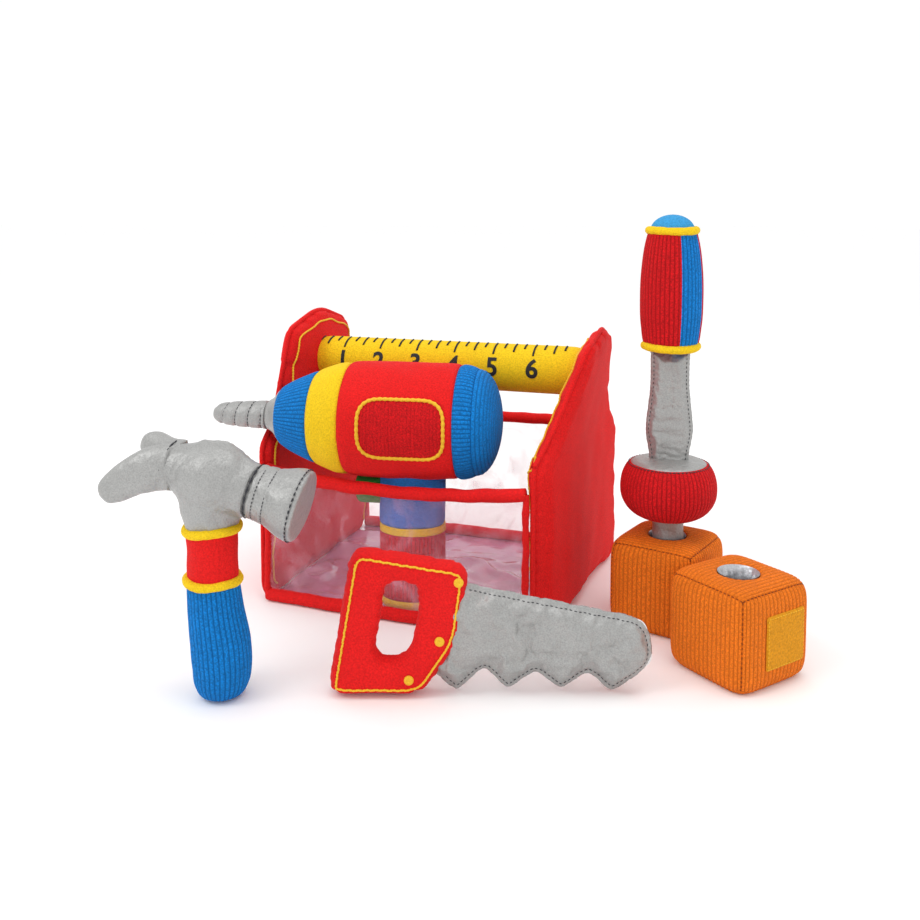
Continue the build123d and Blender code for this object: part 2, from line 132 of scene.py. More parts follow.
def smooth(points, step):
    """A smooth curve through the points, with points about step apart."""
    points = np.asarray(points, float)
    run = np.r_[0, np.cumsum(np.linalg.norm(np.diff(points, axis=0), axis=1))]
    slope = np.gradient(points, run, axis=0)
    count = max(2, int(round(run[-1] / step)) + 1)
    at = np.linspace(0, run[-1], count)
    k = np.clip(np.searchsorted(run, at, side="right") - 1, 0, len(run) - 2)
    width = run[k + 1] - run[k]
    t = ((at - run[k]) / width)[:, None]
    width = width[:, None]
    start = (2 * t**3 - 3 * t**2 + 1) * points[k] + (t**3 - 2 * t**2 + t) * width * slope[k]
    end = (3 * t**2 - 2 * t**3) * points[k + 1] + (t**3 - t**2) * width * slope[k + 1]
    return start + end


def rounded(corners, radius, step):
    """A closed outline through corners, each rounded by about radius."""
    corners = np.asarray(corners, float)
    radii = np.broadcast_to(radius, len(corners))
    line = []
    for k, corner in enumerate(corners):
        before = unit(corners[k - 1] - corner) * radii[k] + corner
        after = unit(corners[(k + 1) % len(corners)] - corner) * radii[k] + corner
        for t in np.linspace(0, 1, 7):
            line.append((1 - t) ** 2 * before + 2 * t * (1 - t) * corner + t**2 * after)
    return resample(line, step, closed=True)


def rectangle(low, high, radius, step):
    """A rounded rectangle between two (across, up) corners."""
    corners = [(low[0], low[1]), (high[0], low[1]), (high[0], high[1]), (low[0], high[1])]
    return rounded(corners, radius, step)


def inset(outline, distance):
    """A closed plan outline moved inwards."""
    ahead = unit(np.roll(outline, -2, 0) - np.roll(outline, 2, 0))
    normal = np.stack([-ahead[:, 1], ahead[:, 0]], 1)
    x, y = outline[:, 0], outline[:, 1]
    area = np.sum(x * np.roll(y, -1) - y * np.roll(x, -1))
    return outline + normal * distance * np.sign(area)


def waves(points, size, seed):
    """Smooth unevenness from about -1 to 1, its bumps about size across."""
    pick = np.random.default_rng(seed)
    points = np.asarray(points, float)
    total = np.zeros(len(points))
    for _ in range(7):
        way = unit(pick.normal(size=points.shape[1]))
        phase = points @ way * (2 * math.pi / size) * pick.uniform(0.6, 1.5)
        bend = np.sin(points @ unit(pick.normal(size=points.shape[1])) * 2.2 / size + pick.uniform(0, 6))
        total += np.sin(phase + 1.6 * bend + pick.uniform(0, 6))
    return total / 3.5


def creases(points, size, seed):
    """Sharp folds, from 0 to 1 along their crests."""
    return np.clip(1 - 1.8 * np.abs(waves(points, size, seed)), 0, 1) ** 2


def grid(points, round_columns=True, round_rows=False):
    """Quads over rows and columns of points."""
    rows, columns = points.shape[:2]
    i = np.arange(rows if round_rows else rows - 1)[:, None]
    j = np.arange(columns if round_columns else columns - 1)[None, :]
    here, below = i * columns, ((i + 1) % rows) * columns
    right = (j + 1) % columns
    faces = np.stack([here + j, here + right, below + right, below + j], -1).reshape(-1, 4).tolist()
    return points.reshape(-1, 3), faces, None


def join(meshes):
    points, faces, wale, start = [], [], [], 0
    for mesh in meshes:
        points.append(mesh[0])
        faces += [[start + k for k in face] for face in mesh[1]]
        wale.append(np.ones(len(mesh[0])) if mesh[2] is None else mesh[2])
        start += len(mesh[0])
    return np.vstack(points), faces, np.concatenate(wale)


def capped(mesh, rows, columns):
    """Closes both ends of a grid that goes round its columns."""
    points, faces, wale = mesh
    count = len(points)
    ends = [points[:columns].mean(0), points[(rows - 1) * columns:rows * columns].mean(0)]
    last = (rows - 1) * columns
    faces = faces + [[count, (k + 1) % columns, k] for k in range(columns)]
    faces += [[count + 1, last + k, last + (k + 1) % columns] for k in range(columns)]
    wale = None if wale is None else np.r_[wale, 1, 1]
    return np.vstack([points, ends]), faces, wale


def wale_height(phase):
    """Height across corduroy, 0 in a groove and 1 on a wale; one wale to each unit of phase."""
    return np.sqrt(np.abs(np.sin(math.pi * phase)))


def lathe(profile, step=1.5, wales=False, hoops=False, sewn=(True, True), axis="z", oval=(1, 1),
          bend=None, straight=False, uneven=0.0, seed=1):
    """Turned cloth through (along, radius) stations, dipping where it is sewn, with or without wales."""
    fine = WALE / STEPS_PER_WALE if hoops else step
    line = resample(profile, fine) if straight else smooth(profile, fine)
    along, radius = line[:, 0], line[:, 1].copy()
    run = np.r_[0, np.cumsum(np.linalg.norm(np.diff(line, axis=0), axis=1))]
    edge = np.full(len(run), 99.0)
    if sewn[0]:
        edge = np.minimum(edge, run)
    if sewn[1]:
        edge = np.minimum(edge, run[-1] - run)
    radius -= SEAM_DIP * np.clip(1 - edge / SEAM_WIDTH, 0, 1) ** 2
    count = max(3, int(round(2 * math.pi * radius.max() / WALE)))
    columns = count * STEPS_PER_WALE if wales else max(48, int(2 * math.pi * radius.max() / step))
    turn = np.linspace(0, 2 * math.pi, columns, endpoint=False)
    height = np.ones((len(line), columns))
    if wales:
        height *= wale_height(count * turn / (2 * math.pi))[None, :]
    if hoops:
        height *= wale_height(run / WALE)[:, None]
    ease = np.clip(edge / 2.0, 0, 1)[:, None] * np.clip(radius / 8, 0, 1)[:, None]
    out = radius[:, None] - WALE_DEPTH * (1 - height) * ease
    a, b = out * np.cos(turn) * oval[0], out * np.sin(turn) * oval[1]
    c = np.broadcast_to(along[:, None], out.shape)
    points = np.stack([c, a, b] if axis == "x" else [a, b, c], -1)
    if uneven:
        flat = points.reshape(-1, 3)
        swell = (1 + uneven * waves(flat, 24, seed) / np.maximum(out.reshape(-1), 6)).reshape(out.shape)
        if axis == "x":
            points[..., 1:] *= swell[..., None]
        else:
            points[..., :2] *= swell[..., None]
    if bend is not None:
        points[..., :2] += bend(along)[:, None, :]
    mesh = grid(points)
    mesh = (mesh[0], mesh[1], height.reshape(-1))
    return capped(mesh, len(line), columns)


def tube(path, radius, up=(0, 0, 1), sides=10, closed=False):
    """A round thread, roll or rope along a path; up is any direction that the path never takes."""
    path = np.asarray(path, float)
    ahead = np.roll(path, -1, 0) - np.roll(path, 1, 0)
    if not closed:
        ahead[0], ahead[-1] = path[1] - path[0], path[-1] - path[-2]
    ahead = unit(ahead)
    side = unit(np.cross(ahead, np.broadcast_to(up, ahead.shape)))
    over = np.cross(side, ahead)
    turn = np.linspace(0, 2 * math.pi, sides, endpoint=False)
    radius = np.broadcast_to(radius, len(path))[:, None, None]
    ring = np.cos(turn)[None, :, None] * side[:, None] + np.sin(turn)[None, :, None] * over[:, None]
    mesh = grid(path[:, None] + radius * ring, round_rows=closed)
    return mesh if closed else capped(mesh, len(path), sides)


def chain(path, radius, up, closed=True):
    """One thick line of chain stitch: a thread whose loops swell and narrow."""
    line = resample(path, radius * 0.55, closed)
    swell = 1 + 0.16 * np.sin(np.arange(len(line)) * 1.1)
    return tube(line, radius * swell, up, 8, closed)


def piping(path, radius, up):
    """A closed stuffed roll of cloth, a little uneven."""
    line = resample(path, 1.0, closed=True)
    return tube(line, radius * (1 + 0.06 * waves(line, 7, 3)), up, 18, True)


def dashes(path, up, radius=0.28, dash=2.0, gap=0.9, closed=False):
    """A row of separate stitches."""
    line = resample(path, 0.5, closed)
    period, length = int((dash + gap) / 0.5), int(dash / 0.5)
    pieces = []
    for start in range(0, len(line) - length, period):
        part = line[start:start + length + 1].copy()
        thick = radius * np.sin(np.linspace(0.35, math.pi - 0.35, len(part)))
        pieces.append(tube(part, thick, up, 6))
    return join(pieces)


# ---------------------------------------------------------------- sewn pads
def inside(points, outline):
    """Which points are within a closed outline."""
    x, y = points[:, 0, None], points[:, 1, None]
    x0, y0 = outline[:, 0], outline[:, 1]
    x1, y1 = np.roll(x0, -1), np.roll(y0, -1)
    crosses = (y0 > y) != (y1 > y)
    rise = np.where(y1 == y0, 1, y1 - y0)
    left = x < (x1 - x0) * (y - y0) / rise + x0
    return (crosses & left).sum(1) % 2 == 1


def gap_to(points, outlines):
    """Distance from each point to the nearest of the closed outlines."""
    best = np.full(len(points), 1e9)
    for outline in outlines:
        start, run = outline, np.roll(outline, -1, 0) - outline
        t = ((points[:, None] - start) * run).sum(2) / np.maximum((run**2).sum(1), 1e-9)
        near = start + np.clip(t, 0, 1)[..., None] * run
        best = np.minimum(best, np.linalg.norm(points[:, None] - near, axis=2).min(1))
    return best


def rise(share):
    """A quarter round: 0 at 0, 1 from 1 on."""
    return np.sqrt(1 - (1 - np.clip(share, 0, 1)) ** 2)


class Pad:
    """Two layers of cloth sewn together round an outline, in (across, up, thickness)."""

    def __init__(self, outline, height, spacing=3.0, holes=()):
        edges = [outline, *holes]
        low, high = outline.min(0), outline.max(0)
        rows = np.arange(low[1], high[1], spacing * 0.87)
        places = []
        for k, up in enumerate(rows):
            across = np.arange(low[0] + (k % 2) * spacing / 2, high[0], spacing)
            places += [(x, up) for x in across]
        places = np.array(places)
        keep = inside(places, outline) & (gap_to(places, edges) > spacing * 0.55)
        for hole in holes:
            keep &= ~inside(places, hole)
        places = places[keep]
        rim = np.vstack(edges)
        flat = np.vstack([rim, places])
        ties, start = [], 0
        for edge in edges:
            ties += [(start + k, start + (k + 1) % len(edge)) for k in range(len(edge))]
            start += len(edge)
        cut = geometry.delaunay_2d_cdt([Vector(p) for p in flat], ties, [], 0, 1e-5)
        corners = np.array([tuple(v) for v in cut[0]])
        triangles = np.array([tuple(face) for face in cut[2]])
        middles = corners[triangles].mean(1)
        shown = inside(middles, outline)
        for hole in holes:
            shown &= ~inside(middles, hole)
        triangles = triangles[shown]
        gaps = gap_to(corners, edges)
        lift = height(corners, gaps)
        back = np.arange(len(corners))
        on_rim = gaps < 1e-3
        back[~on_rim] = len(corners) + np.arange((~on_rim).sum())
        self.points = np.vstack([np.c_[corners, lift], np.c_[corners[~on_rim], -lift[~on_rim]]])
        self.faces = [list(map(int, t)) for t in triangles]
        self.faces += [[int(back[k]) for k in reversed(t)] for t in triangles]
        self.gaps = np.r_[gaps, gaps[~on_rim]]

    def swell(self, pressure, slack=0.03, sewn=0.1, cap=3.0, frames=14):
        """Cloth simulation: the layers swell between their seams, and puckers form along them."""
        scale = 100.0  # simulated at ten times life size, where the solver is steady
        data = bpy.data.meshes.new("pad")
        data.from_pydata((self.points / scale).tolist(), [], self.faces)
        body = bpy.data.objects.new("pad", data)
        bpy.context.scene.collection.objects.link(body)
        held = body.vertex_groups.new(name="sewn")
        held.add([int(k) for k in np.nonzero(self.gaps <= sewn)[0]], 1.0, "REPLACE")
        cloth = body.modifiers.new("swell", "CLOTH")
        settings = cloth.settings
        settings.quality = 6
        settings.mass = 0.3
        settings.vertex_group_mass = held.name
        settings.use_pressure = True
        settings.uniform_pressure_force = pressure
        settings.effector_weights.gravity = 0
        settings.tension_stiffness = settings.compression_stiffness = 20
        settings.bending_stiffness = 0.4
        settings.shrink_min = -slack
        cloth.point_cache.frame_end = frames
        scene = bpy.context.scene
        for step in range(1, frames + 1):
            scene.frame_set(step)
        done = body.evaluated_get(bpy.context.evaluated_depsgraph_get()).data
        moved = np.array([v.co for v in done.vertices]) * scale - self.points
        scene.frame_set(1)
        bpy.data.objects.remove(body)
        reach = np.linalg.norm(moved, axis=1, keepdims=True)
        self.points = self.points + moved * np.minimum(1, cap / np.maximum(reach, 1e-6))
        return self

    def mesh(self):
        """The pad subdivided once, in (across, up, thickness)."""
        data = bpy.data.meshes.new("pad")
        data.from_pydata(self.points.tolist(), [], self.faces)
        body = bpy.data.objects.new("pad", data)
        bpy.context.scene.collection.objects.link(body)
        body.modifiers.new("fine", "SUBSURF").levels = 1
        bpy.context.view_layer.update()
        done = body.evaluated_get(bpy.context.evaluated_depsgraph_get()).data
        points = np.array([v.co for v in done.vertices])
        faces = [list(face.vertices) for face in done.polygons]
        bpy.data.objects.remove(body)
        self.tree = BVHTree.FromPolygons([Vector(p) for p in points], faces)
        return points, faces, None

    def lay(self, path, side, lift):
        """Where a flat path lies on the pad's front (side 1) or back (side -1)."""
        found = []
        for across, up in path:
            hit = self.tree.ray_cast(Vector((across, up, side * 60.0)), Vector((0, 0, -side)))[0]
            if hit is not None:
                found.append((across, up, hit[2] + side * lift))
        return np.array(found)


def warped(mesh, warp):
    return warp(mesh[0]), mesh[1], mesh[2]


# ---------------------------------------------------------------- pieces
def make(name, mesh, look, body, place=HOME, stands_for=(), slot=None):
    """Adds a piece, and hides the CAD nodes that it stands for; the slot argument is not used."""
    points, faces, wale = mesh
    data = bpy.data.meshes.new(name)
    data.from_pydata((place.out(points) / METRE).tolist(), [], faces)
    if wale is None:
        wale = np.ones(len(points))
    # The wale attribute, 0 in a groove and 1 on a wale, is the mask for the corduroy's painted groove
    # shade.
    data.attributes.new("wale", "FLOAT", "POINT").data.foreach_set("value", wale.astype(np.float32))
    shape = bmesh.new()
    shape.from_mesh(data)
    bmesh.ops.recalc_face_normals(shape, faces=shape.faces)
    shape.to_mesh(data)
    shape.free()
    data.polygons.foreach_set("use_smooth", [True] * len(data.polygons))
    data.materials.append(LOOKS[look])
    piece = bpy.data.objects.new(name, data)
    bpy.context.scene.collection.objects.link(piece)
    if body is not None:
        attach(piece, body)
    if stands_for:
        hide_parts(*stands_for)
        slot = slot or look
    return piece


# ---------------------------------------------------------------- materials
class Look:
    """A material made from noise in the object's own space; sizes are in millimetres."""

    def __init__(self, name):
        self.material = bpy.data.materials.new(name)
        self.material.use_nodes = True
        self.nodes = self.material.node_tree.nodes
        self.links = self.material.node_tree.links
        self.shader = self.nodes["Principled BSDF"]
        self.coords = self.nodes.new("ShaderNodeTexCoord").outputs["Object"]

    def link(self, start, end):
        self.links.new(start, end)

    def noise(self, size, detail=2.0, distortion=0.0, stretch=None):
        node = self.nodes.new("ShaderNodeTexNoise")
        node.inputs["Scale"].default_value = METRE / size
        node.inputs["Detail"].default_value = detail
        node.inputs["Distortion"].default_value = distortion
        source = self.coords
        if stretch:
            mapping = self.nodes.new("ShaderNodeMapping")
            mapping.inputs["Scale"].default_value = stretch
            self.link(source, mapping.inputs["Vector"])
            source = mapping.outputs["Vector"]
        self.link(source, node.inputs["Vector"])
        return node.outputs["Fac"]

    def ranged(self, value, low, high, bottom, top):
        node = self.nodes.new("ShaderNodeMapRange")
        for k, number in enumerate((low, high, bottom, top)):
            node.inputs[k + 1].default_value = number
        self.link(value, node.inputs[0])
        return node.outputs[0]

    def times(self, a, b):
        node = self.nodes.new("ShaderNodeMath")
        node.operation = "MULTIPLY"
        self.link(a, node.inputs[0])
        self.link(b, node.inputs[1])
        return node.outputs[0]

    def attribute(self, name):
        node = self.nodes.new("ShaderNodeAttribute")
        node.attribute_name = name
        return node.outputs["Fac"]

    def tinted(self, dark, light, value):
        """Colour from dark to light by value."""
        node = self.nodes.new("ShaderNodeMix")
        node.data_type = "RGBA"
        node.inputs["A"].default_value = (*dark, 1)
        node.inputs["B"].default_value = (*light, 1)
        self.link(value, node.inputs["Factor"])
        for output in node.outputs:
            if output.type == "RGBA":
                return output

    def bump(self, height, depth, below=None):
        node = self.nodes.new("ShaderNodeBump")
        node.inputs["Distance"].default_value = depth / METRE
        node.inputs["Strength"].default_value = 1.0
        self.link(height, node.inputs["Height"])
        if below is not None:
            self.link(below, node.inputs["Normal"])
        return node.outputs["Normal"]


def shade(colour, factor):
    return tuple(channel * factor for channel in colour)


def cloth(name, colour, grain=0.9, relief=0.4, dark=0.66, rough=0.85, metal=0.0, painted_groove_shade=False, crumple=0.0):
    """Pile, corduroy or satin: speckled by its fibres, shaded by its nap, with painted shade darkening its
    grooves.
    """
    look = Look(name)
    fibres = look.noise(grain, 3.0)
    nap = look.noise(22.0, 2.0, 0.6)
    tone = look.times(look.ranged(fibres, 0.3, 0.68, 0.0, 1.0), look.ranged(nap, 0.3, 0.7, 0.72, 1.0))
    # Painted shade: for corduroy the wale attribute darkens the colour in the grooves, standing in for the
    # shade that falls in them.
    if painted_groove_shade:
        tone = look.times(tone, look.ranged(look.attribute("wale"), 0.15, 0.9, 0.0, 1.0))
    look.link(look.tinted(shade(colour, dark), colour, tone), look.shader.inputs["Base Color"])
    normal = look.bump(fibres, relief)
    if crumple:
        normal = look.bump(look.noise(9.0, 3.0, 0.8), crumple, normal)
        normal = look.bump(look.noise(16.0, 4.0, 2.2, (1.0, 1.0, 0.45)), 1.3 * crumple, normal)
    else:
        look.shader.inputs["Specular IOR Level"].default_value = 0.2
    look.link(normal, look.shader.inputs["Normal"])
    look.shader.inputs["Roughness"].default_value = rough
    look.shader.inputs["Metallic"].default_value = metal
    look.shader.inputs["Sheen Weight"].default_value = 0.04
    look.shader.inputs["Sheen Roughness"].default_value = 0.5
    look.shader.inputs["Sheen Tint"].default_value = (*[0.2 + 0.8 * c for c in colour], 1)
    return look.material


def vinyl(name, colour, clear, milky):
    """Soft clear sheet: see-through face on, milky at a slant and in cloudy patches."""
    look = Look(name)
    facing = look.nodes.new("ShaderNodeLayerWeight")
    facing.inputs["Blend"].default_value = 0.35
    cloud = look.ranged(look.noise(26.0, 3.0, 1.2), 0.45, 0.75, 0.0, 1.0)
    total = look.nodes.new("ShaderNodeMath")
    total.operation = "MAXIMUM"
    look.link(facing.outputs["Facing"], total.inputs[0])
    look.link(cloud, total.inputs[1])
    look.link(look.ranged(total.outputs[0], 0.15, 1.0, clear, milky), look.shader.inputs["Alpha"])
    look.link(look.tinted(shade(colour, 0.85), colour, cloud), look.shader.inputs["Base Color"])
    look.link(look.bump(look.noise(7.0, 3.0, 1.5), 0.5), look.shader.inputs["Normal"])
    look.shader.inputs["Roughness"].default_value = 0.08
    look.shader.inputs["Coat Weight"].default_value = 1.0
    look.shader.inputs["Coat Roughness"].default_value = 0.04
    return look.material


def plain(name, colour, rough, metal=0.0, grain=1.5, relief=0.05, worn=0.85):
    """Moulded plastic, steel, ink or foam, with a fine surface."""
    look = Look(name)
    speck = look.noise(grain, 4.0)
    look.link(look.tinted(shade(colour, worn), colour, speck), look.shader.inputs["Base Color"])
    look.link(look.bump(speck, relief), look.shader.inputs["Normal"])
    roughness = look.ranged(speck, 0.0, 1.0, rough * 0.85, min(1.0, rough * 1.15))
    look.link(roughness, look.shader.inputs["Roughness"])
    look.shader.inputs["Metallic"].default_value = metal
    return look.material


RED, BLUE, YELLOW = (0.86, 0.012, 0.012), (0.004, 0.26, 0.78), (1.0, 0.66, 0.012)
LOOKS = {
    "red_velour": cloth("red_velour", RED),
    # For the corduroys, dark also sets how deep the painted shade in the grooves goes.
    "red_corduroy": cloth("red_corduroy", (0.80, 0.008, 0.012), dark=0.42, painted_groove_shade=True),
    "blue_corduroy": cloth("blue_corduroy", BLUE, dark=0.4, painted_groove_shade=True),
    "blue_velour": cloth("blue_velour", (0.03, 0.24, 0.74)),
    "sky_velour": cloth("sky_velour", (0.05, 0.36, 0.72)),
    "yellow_velour": cloth("yellow_velour", YELLOW, dark=0.68),
    "green_velour": cloth("green_velour", (0.03, 0.30, 0.04)),
    "gold_velour": cloth("gold_velour", (0.80, 0.33, 0.01), grain=1.1, relief=0.5),
    "orange_corduroy": cloth("orange_corduroy", (1.0, 0.225, 0.012), dark=0.52, painted_groove_shade=True),
    "silver_satin": cloth("silver_satin", (0.43, 0.43, 0.42), grain=0.7, dark=0.7, rough=0.42,
                          metal=0.45, relief=0.16, crumple=1.1),
    "silver_lining": cloth("silver_lining", (0.66, 0.67, 0.70), dark=0.7, rough=0.3, metal=0.5,
                           relief=0.2, crumple=1.0),
    "yellow_thread": cloth("yellow_thread", (0.95, 0.55, 0.03), grain=0.5, relief=0.2, dark=0.75,
                           rough=0.5),
    "dark_thread": cloth("dark_thread", (0.05, 0.05, 0.06), grain=0.5, relief=0.1, rough=0.6),
    "rust_thread": cloth("rust_thread", (0.22, 0.04, 0.008), grain=0.5, relief=0.1, rough=0.6),
    "print_ink": plain("print_ink", (0.008, 0.008, 0.010), 0.7, grain=0.7, relief=0.1),
    # The window's pink-red is partly the vinyl's own pink tint and partly painted light: it is pushed
    # redder and brighter to stand in for the lit red end pad seen through it.
    "window_vinyl": vinyl("window_vinyl", (1.0, 0.50, 0.62), 0.15, 0.42),
    "floor_vinyl": vinyl("floor_vinyl", (0.66, 0.27, 0.48), 0.66, 0.92),
    "crinkle_film": plain("crinkle_film", (0.85, 0.85, 0.85), 0.3, grain=6.0, relief=0.8),
    "moulded_plastic": plain("moulded_plastic", (0.90, 0.90, 0.88), 0.4),
    "spring_steel": plain("spring_steel", (0.60, 0.60, 0.60), 0.3, metal=1.0, grain=0.6),
    "white_cord": cloth("white_cord", (0.93, 0.93, 0.91), grain=0.6, relief=0.3, dark=0.8),
}


# ---------------------------------------------------------------- toolbox
bar_height = (low_of("handle_cover")[2] + high_of("handle_cover")[2]) / 2
bar_radius = (high_of("handle_cover")[2] - low_of("handle_cover")[2]) / 2
bar_end = high_of("handle_cover")[0]
pad_half_depth = high_of("left_end_outer_cover")[1]
pad_peak = high_of("left_end_outer_cover")[2]
pad_middle = {side: side * (low_of("right_end_inner_cover")[0] + high_of("right_end_outer_cover")[0]) / 2
              for side in (-1, 1)}
window_front, window_back = low_of("front_window")[1], high_of("back_window")[1]
front_rim, back_rim = high_of("front_window")[2], high_of("back_window")[2]
roll_radius = 3.9  # of the red bindings


def pad_lean(side, across, up):
    """How far an end pad's middle stands from its place along the box, as its stuffing pulls it."""
    front = np.clip(-across / pad_half_depth, 0, 1)
    back = np.clip(across / pad_half_depth, 0, 1)
    top = np.clip((up - 100) / (pad_peak - 100), 0, 1.1)
    if side > 0:
        twist = 7.0 * np.clip(0.5 - across / pad_half_depth, 0, 1)
        return -9.0 * front**2 * (1 - top) + 7.0 * back**2 * (1 - top) + (12.5 + twist) * top**1.4
    return 1.0 * front**2 - 4.0 * back**2 + 1.0 * top


def end_pad(side):
    name = "right" if side > 0 else "left"
    half = pad_half_depth
    peak, shoulder = (pad_peak - 7, 164) if side > 0 else (pad_peak, 168)
    right = [(half - 6, 0), (half, 8), (half, 99), (62, 111), (41, shoulder)]
    corners = right + [(0, peak)] + [(-y, z) for y, z in reversed(right)]
    waist = 20 if side > 0 else 8
    radii = [4, 4, 8, waist, 6, 14, 6, waist, 8, 4, 4]
    outline = rounded(corners, radii, 3.0)

    def height(_, gaps):
        channel = 1.2 * np.exp(-((gaps - 6.5) / 1.6) ** 2)
        crown = 1.3 * np.clip((gaps - 8) / 30, 0, 1)
        return 4.3 * rise(gaps / 4.5) - channel + crown

    pad = Pad(outline, height, spacing=3.4).swell(3.0, slack=0.035, sewn=1.2, cap=2.2)

    def warp(points):
        across, up, thick = points[:, 0], points[:, 1], points[:, 2]
        thick = thick + 0.35 * waves(points, 30, 5 + side) * np.clip(np.abs(thick) / 3, 0, 1)
        x = pad_middle[side] + pad_lean(side, across, up) + thick
        return np.stack([x, across, np.maximum(up, 0.1)], 1)

    shell = pad.mesh()
    make(f"{name}_end_pad", warped(shell, warp), "red_velour", "toolbox",
         stands_for=(f"{name}_end_outer_cover", f"{name}_end_inner_cover", "end_foam_boards"))
    wave = 0.35 * np.sin(np.arange(len(outline)) * 0.9)
    line = resample(inset(outline, 6.5)[2:-2] + wave[2:-2, None], 1.5)
    line = line[line[:, 1] > 7]
    path = warp(pad.lay(line, -side, 0.45))
    make(f"{name}_end_topstitch", chain(path, 0.62, (1, 0, 0), closed=False), "yellow_thread",
         "toolbox")
    ridge = resample(outline, 1.5, closed=True)
    ridge = np.c_[ridge[:, 0], np.maximum(ridge[:, 1], 1.6), np.zeros(len(ridge))]
    make(f"{name}_end_seam", tube(warp(ridge), 1.5, (1, 0, 0), 10, closed=True), "red_velour",
         "toolbox")


def ruler_point(x, angle, lift=0.0):
    """A point on the handle bar, that far round from its top towards the front."""
    turn = math.radians(angle)
    reach = bar_radius + lift
    return (x, -reach * math.sin(turn), bar_height + reach * math.cos(turn))


def handle():
    ends = (-bar_end - 1.0, bar_end + 8.0)
    profile = [(ends[0], bar_radius - 1.2), (ends[0] + 5, bar_radius - 0.2), (ends[0] + 12, bar_radius),
               (ends[1] - 12, bar_radius), (ends[1] - 5, bar_radius - 0.2), (ends[1], bar_radius - 1.2)]
    bar = lathe(profile, step=2.0, axis="x", straight=True)
    bar = (bar[0] + np.array([0, 0, bar_height]), bar[1], bar[2])
    make("ruler_handle", bar, "yellow_velour", "toolbox", stands_for=("handle_cover", "handle_core"))
    inch = 26.4
    marks = []
    for quarter in range(-13, 14):
        x = quarter * inch / 4
        if abs(x) > bar_end - 2:
            continue
        whole = (quarter - 2) % 4 == 0
        half_mark = quarter % 4 == 0
        end = 53 if whole else 42 if half_mark else 31
        path = [ruler_point(x, angle, 0.12) for angle in range(5, end, 3)]
        marks.append(tube(path, 0.65, (1, 0, 0), 6))
    make("ruler_marks", join(marks), "print_ink", "toolbox")
    digits = []
    for number in range(1, 7):
        letter = bpy.data.curves.new("digit", "FONT")
        letter.body = str(number)
        letter.size, letter.offset, letter.extrude = 16.5, 0.4, 0.25
        letter.align_x, letter.align_y = "CENTER", "CENTER"
        letter.resolution_u = 6
        flat = bpy.data.objects.new("digit", letter)
        bpy.context.scene.collection.objects.link(flat)
        data = bpy.data.meshes.new_from_object(flat)
        shape = bmesh.new()
        shape.from_mesh(data)
        bmesh.ops.triangulate(shape, faces=shape.faces)
        long_edges = [edge for edge in shape.edges if edge.calc_length() > 1.2]
        bmesh.ops.subdivide_edges(shape, edges=long_edges, cuts=3)
        bmesh.ops.triangulate(shape, faces=shape.faces)
        shape.to_mesh(data)
        shape.free()
        x = (number - 3.5) * inch
        points = []
        for vertex in data.vertices:
            across, up, out = vertex.co
            points.append(ruler_point(x + across, 84 - math.degrees(up / bar_radius), out + 0.05))
        digits.append((np.array(points), [list(face.vertices) for face in data.polygons], None))
        bpy.data.objects.remove(flat)
    make("ruler_numbers", join(digits), "print_ink", "toolbox")


def side_ends(y):
    """Where a wall at this depth meets the two end pads."""
    across = np.array([y])
    left = pad_middle[-1] + pad_lean(-1, across, np.array([40.0]))[0] + 4.0
    right = pad_middle[1] + pad_lean(1, across, np.array([40.0]))[0] - 4.0
    return left, right


def rim_line(side, height):
    """A binding's line: bowed out a little, sagging at its middle."""
    y = window_front if side < 0 else window_back
    left, right = side_ends(y)
    x = np.linspace(left, right, 61)
    share = (x - left) / (right - left)
    sag = 4 * share * (1 - share)
    wobble = 0.35 * waves(np.stack([x, np.full(len(x), height)], 1), 30, int(height) + 3)
    if height < roll_radius + 1:
        return np.stack([x, y + side * 3.2 * sag + wobble, np.full(len(x), height)], 1)
    ends, drop = (3.0, 5.5) if side < 0 else (1.5, 2.5)
    return np.stack([x, y + side * 1.5 * sag + wobble, height + ends - drop * sag + wobble], 1)


def even(line, count):
    """The line with that many points, evenly spaced along it."""
    at = np.linspace(0, len(line) - 1, count)
    return np.stack([np.interp(at, np.arange(len(line)), line[:, k]) for k in range(3)], 1)


def walls():
    rolls = []
    for side, name, rim in ((-1, "front", front_rim), (1, "back", back_rim)):
        low_line, high_line = rim_line(side, roll_radius + 0.2), rim_line(side, rim)
        rows = np.linspace(0, 1, 40)[:, None, None]
        low_fine, high_fine = even(low_line, 110), even(high_line, 110)
        sheet = (1 - rows) * low_fine[None] + rows * high_fine[None]
        points = sheet.reshape(-1, 3)
        flat = points[:, [0, 2]]
        folds = 1.6 * creases(flat * (1, 0.6), 46, 11 + side) + 0.9 * waves(flat, 22, 4)
        held = np.clip(4 * rows * (1 - rows), 0, 1)
        sheet[..., 1] += (folds.reshape(sheet.shape[:2]) - 0.6) * held[..., 0] ** 0.5
        window = make(f"{name}_wall", grid(sheet, round_columns=False), "window_vinyl", "toolbox",
                      stands_for=(f"{name}_window",), slot="clear_vinyl")
        for line in (low_line, high_line):
            path = resample(line, 1.5)
            thick = roll_radius * (1 + 0.05 * waves(path, 9, 2))
            rolls.append(tube(path, thick, (0, 0, 1), 16))
        for column in (0, -1):
            upright = np.linspace(low_line[column], high_line[column], 40)
            upright[:, 1] += side * 0.8
            upright[:, 0] += 0.5 * waves(upright, 12, 8 + side)
            rolls.append(tube(upright, 2.0 + 0.3 * waves(upright, 7, 3), (1, 0, 0), 10))
    make("window_rolls", join(rolls), "red_velour", "toolbox", stands_for=("window_bindings",))


